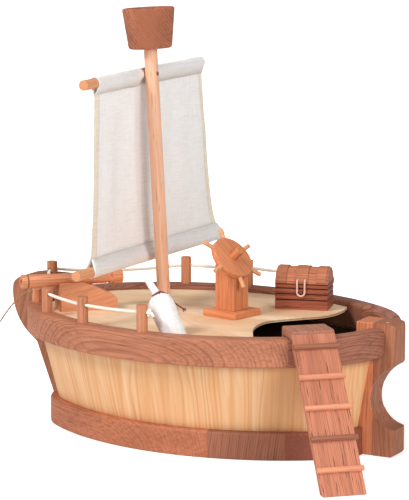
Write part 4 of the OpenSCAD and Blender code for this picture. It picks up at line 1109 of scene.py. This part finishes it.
# Gathers at the tie: middle and width up the sack; then depth, count and start of each set
GATHER_AT = 0.97
GATHER_WIDTH = 0.13
GATHERS = ((0.10, 9, 0.6), (0.05, 14, 2))
# Neck: where it starts, over what height it turns flat, its pleats' count and depth, how flat it is
NECK_AT = 1.02
NECK_RISE = 0.12
NECK_PLEATS = 7
NECK_PLEAT = 0.08
NECK_FLAT = 0.35
DENT = 0.05
DENT_WAVES = (2.2, 4)
# The sack's underside lies just above the deck, and a little higher with each row
UNDERSIDE = 0.0004
UNDERSIDE_RISE = 0.0002
cotton_look = cloth("sack_cotton", (255, 253, 250), (240, 236, 233), thread=0.7)
tie_look = twine("sack_tie_cord", (160, 48, 48), (104, 26, 30), rough=0.7)


def in_sack(x, y, z):
    """A point of the sack's own frame, its neck leaning further above the tie, in the ship's frame."""
    p = Vector((x, y, z))
    if z > SACK_H:
        tie = Vector((0, 0, SACK_H))
        p = tie + Matrix.Rotation(math.radians(-NECK_LEAN), 3, "Y") @ (p - tie)
    return SACK_AT + Matrix.Rotation(math.radians(-SACK_LEAN), 3, "Y") @ p


def outline_at(h):
    """The sack's radius at a height, in metres."""
    for (h0, r0), (h1, r1) in zip(SACK_OUTLINE, SACK_OUTLINE[1:]):
        if h <= h1:
            t = (h - h0) / (h1 - h0)
            return (r0 + (r1 - r0) * t * t * (3 - 2 * t)) * MM
    return SACK_OUTLINE[-1][1] * MM


def make_sack():
    low = SACK_OUTLINE[0][0]
    high = SACK_OUTLINE[-1][0]
    points = []
    for j in range(SACK_ROWS + 1):
        h = low + (high - low) * j / SACK_ROWS
        gather = bell(h, GATHER_AT, GATHER_WIDTH)
        neck = max(0.0, min(1.0, (h - NECK_AT) / NECK_RISE))
        for k in range(SACK_SIDES):
            t = math.tau * k / SACK_SIDES
            c = math.cos(t)
            s = math.sin(t)
            folds = sum(depth * math.cos(count * t + start) for depth, count, start in GATHERS)
            dents = noise.noise(Vector((DENT_WAVES[0] * c, DENT_WAVES[0] * s, DENT_WAVES[1] * h)))
            r = outline_at(h) * (1 + gather * folds)
            r *= 1 + neck * NECK_PLEAT * math.cos(NECK_PLEATS * t + 1)
            r *= 1 + DENT * (1 - gather) * (1 - neck) * dents
            p = in_sack(r * c, r * s * (1 - NECK_FLAT * neck), h * SACK_H)
            p.z = max(p.z, SACK_AT.z + UNDERSIDE + UNDERSIDE_RISE * (h - low))
            points.append(p)
    faces = grid_faces(SACK_ROWS + 1, SACK_SIDES, closed=True)
    faces.append(tuple(range(SACK_SIDES))[::-1])
    faces.append(tuple(range(SACK_ROWS * SACK_SIDES, (SACK_ROWS + 1) * SACK_SIDES)))
    sack = piece("sack_cloth", points, faces, cotton_look, "sack_body")
    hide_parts("sack")


TIE_R = 0.0011
TIE_LAY = 0.008
TIE_STEP = 0.0007
TIE_TURNS = 2.2
TIE_END = 35
TIE_STEPS = 60
TIE_OUT = 0.0010
TIE_DOWN = 0.0008
TIE_CLIMB = 0.0012
# The tie's loose end and the ends of its tassel's strands, in millimetres
TIE_TAIL = ((4, -147, 235), (8.7, -143.5, 229.3), (15.9, -143, 221.8), (22, -143, 218), (29, -143, 215))
TASSEL = ((34, -141, 213.5), (35, -144, 212), (33, -146, 210.5), (31, -142, 210))
TASSEL_R = 0.0009
TASSEL_LAY = 0.006
TASSEL_FROM = 0.8


def make_tie():
    path = []
    r = NECK_R + TIE_OUT
    for i in range(TIE_STEPS + 1):
        u = i / TIE_STEPS
        t = math.radians(TIE_END) - math.tau * TIE_TURNS * (1 - u)
        path.append(in_sack(r * math.cos(t), r * math.sin(t), SACK_H - TIE_DOWN + TIE_CLIMB * u))
    tail = [mm(*p) for p in TIE_TAIL]
    route = resample(path + rounded([path[-1]] + tail, 3)[1:], TIE_STEP)
    tie_round = laid(TIE_R, 2, TIE_LAY)
    wraps = tube("sack_tie_cord", route, tie_round, tie_look, "sack_body", sides=10)
    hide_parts("sack_tie")
    strand_round = laid(TASSEL_R, 2, TASSEL_LAY)
    for k, end in enumerate(TASSEL):
        bends = [tail[-2].lerp(tail[-1], TASSEL_FROM), tail[-1], mm(*end)]
        strand = resample(rounded(bends, 2), TIE_STEP)
        tube("sack_tie_tassel_%d" % k, strand, strand_round, tie_look, "sack_body", sides=8)


make_sack()
make_tie()


# Chest loop: a cord through the lid, hung over the latch peg

LOOP_TOP = CHEST_H + 0.0065
LATCH_Z = 0.7 * CHEST_H
LOOP_IN = Vector((0, 0.005, 0))
LOOP_CLEAR = 0.0001
LOOP_STEPS = 16
LOOP_LAY = 0.008
LOOP_STEP = 0.0008
loop_look = twine("chest_loop_cord", (255, 218, 200), (226, 170, 150))


def make_loop():
    front = -CHEST_D / 2 - BAND_T - LOOP_D / 2 - LOOP_CLEAR
    left = Vector((-LOOP_HALF, front, LOOP_TOP))
    right = Vector((LOOP_HALF, front, LOOP_TOP))
    route = [left + LOOP_IN, left]
    for i in range(LOOP_STEPS + 1):
        t = math.pi * (1 + i / LOOP_STEPS)
        route.append(Vector((LOOP_HALF * math.cos(t), front, LATCH_Z + LOOP_HALF * math.sin(t))))
    route += [right, right + LOOP_IN]
    turn = Matrix.Rotation(math.radians(CHEST_TURN), 3, "Z")
    path = [CHEST_AT + turn @ p for p in resample(rounded(route, 2), LOOP_STEP)]
    loop_round = laid(LOOP_D / 2, ROPE_STRANDS, LOOP_LAY)
    loop = tube("chest_loop_lay", path, loop_round, loop_look, "lid", sides=10)
    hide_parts("chest_loop")


make_loop()


# Floor and light

FLOOR_HALF = 30
FLOOR_Z = -0.0005
FLOOR_GREY = (0.92, 0.92, 0.92, 1.0)
FLOOR_GLOW = 0.5
# The floor's glow grows over this distance, between these parts of it
FADE = 2.0
FADE_RISE = (0.2, 0.8)
SKY = 0.34
# Place, aim, size and power of each lamp
LAMPS = {
    "key": ((-1.3, -2.7, 2.7), (0, 0, 0.25), 1.2, 90),
    "fill": ((3.0, -1.9, 1.6), (0, 0, 0.25), 1.6, 68),
    "top": ((0.2, 0.6, 3.0), (0, 0, 0.2), 2.0, 8),
}


def make_floor():
    """A pale floor that keeps the toy's shadow and turns plain white further off."""
    s = Shader("floor_white")
    away = s.vector("LENGTH", s.stretch(s.coordinates(), (1, 1, 0)))
    far = s.step(s.math("DIVIDE", away, FADE, clamp=True), *FADE_RISE)
    seen = s.add("ShaderNodeLightPath").outputs["Is Camera Ray"]
    glow = s.math("MULTIPLY", s.scaled(far, 1 - FLOOR_GLOW, FLOOR_GLOW), seen)
    s.set(Base_Color=FLOOR_GREY, Roughness=0.9, Specular_IOR_Level=0.1, Emission_Color=WHITE,
          Emission_Strength=glow)
    mesh = bpy.data.meshes.new("floor")
    e = FLOOR_HALF
    mesh.from_pydata([(-e, -e, 0), (e, -e, 0), (e, e, 0), (-e, e, 0)], [], [(0, 1, 2, 3)])
    mesh.materials.append(s.material)
    floor = bpy.data.objects.new("floor", mesh)
    floor.location.z = FLOOR_Z
    show(floor)


def make_lamp(name, place, aim, size, power):
    data = bpy.data.lights.new(name, "AREA")
    data.shape = "DISK"
    data.size = size
    data.energy = power
    light = bpy.data.objects.new(name, data)
    light.location = place
    light.rotation_euler = (Vector(aim) - Vector(place)).to_track_quat("-Z", "Y").to_euler()
    show(light)


def make_sky():
    """A soft white sky that lights the toy less than it shows."""
    world = bpy.data.worlds.new("studio")
    world.use_nodes = True
    tree = world.node_tree
    back = tree.nodes["Background"]
    ray = tree.nodes.new("ShaderNodeLightPath")
    level = tree.nodes.new("ShaderNodeMapRange")
    level.inputs["To Min"].default_value = SKY
    level.inputs["To Max"].default_value = 1.0
    tree.links.new(ray.outputs["Is Camera Ray"], level.inputs["Value"])
    back.inputs["Color"].default_value = WHITE
    tree.links.new(level.outputs[0], back.inputs["Strength"])
    bpy.context.scene.world = world


make_floor()
make_sky()
for name, (place, aim, size, power) in LAMPS.items():
    make_lamp(name, place, aim, size, power)
bpy.context.scene.view_settings.view_transform = "Standard"
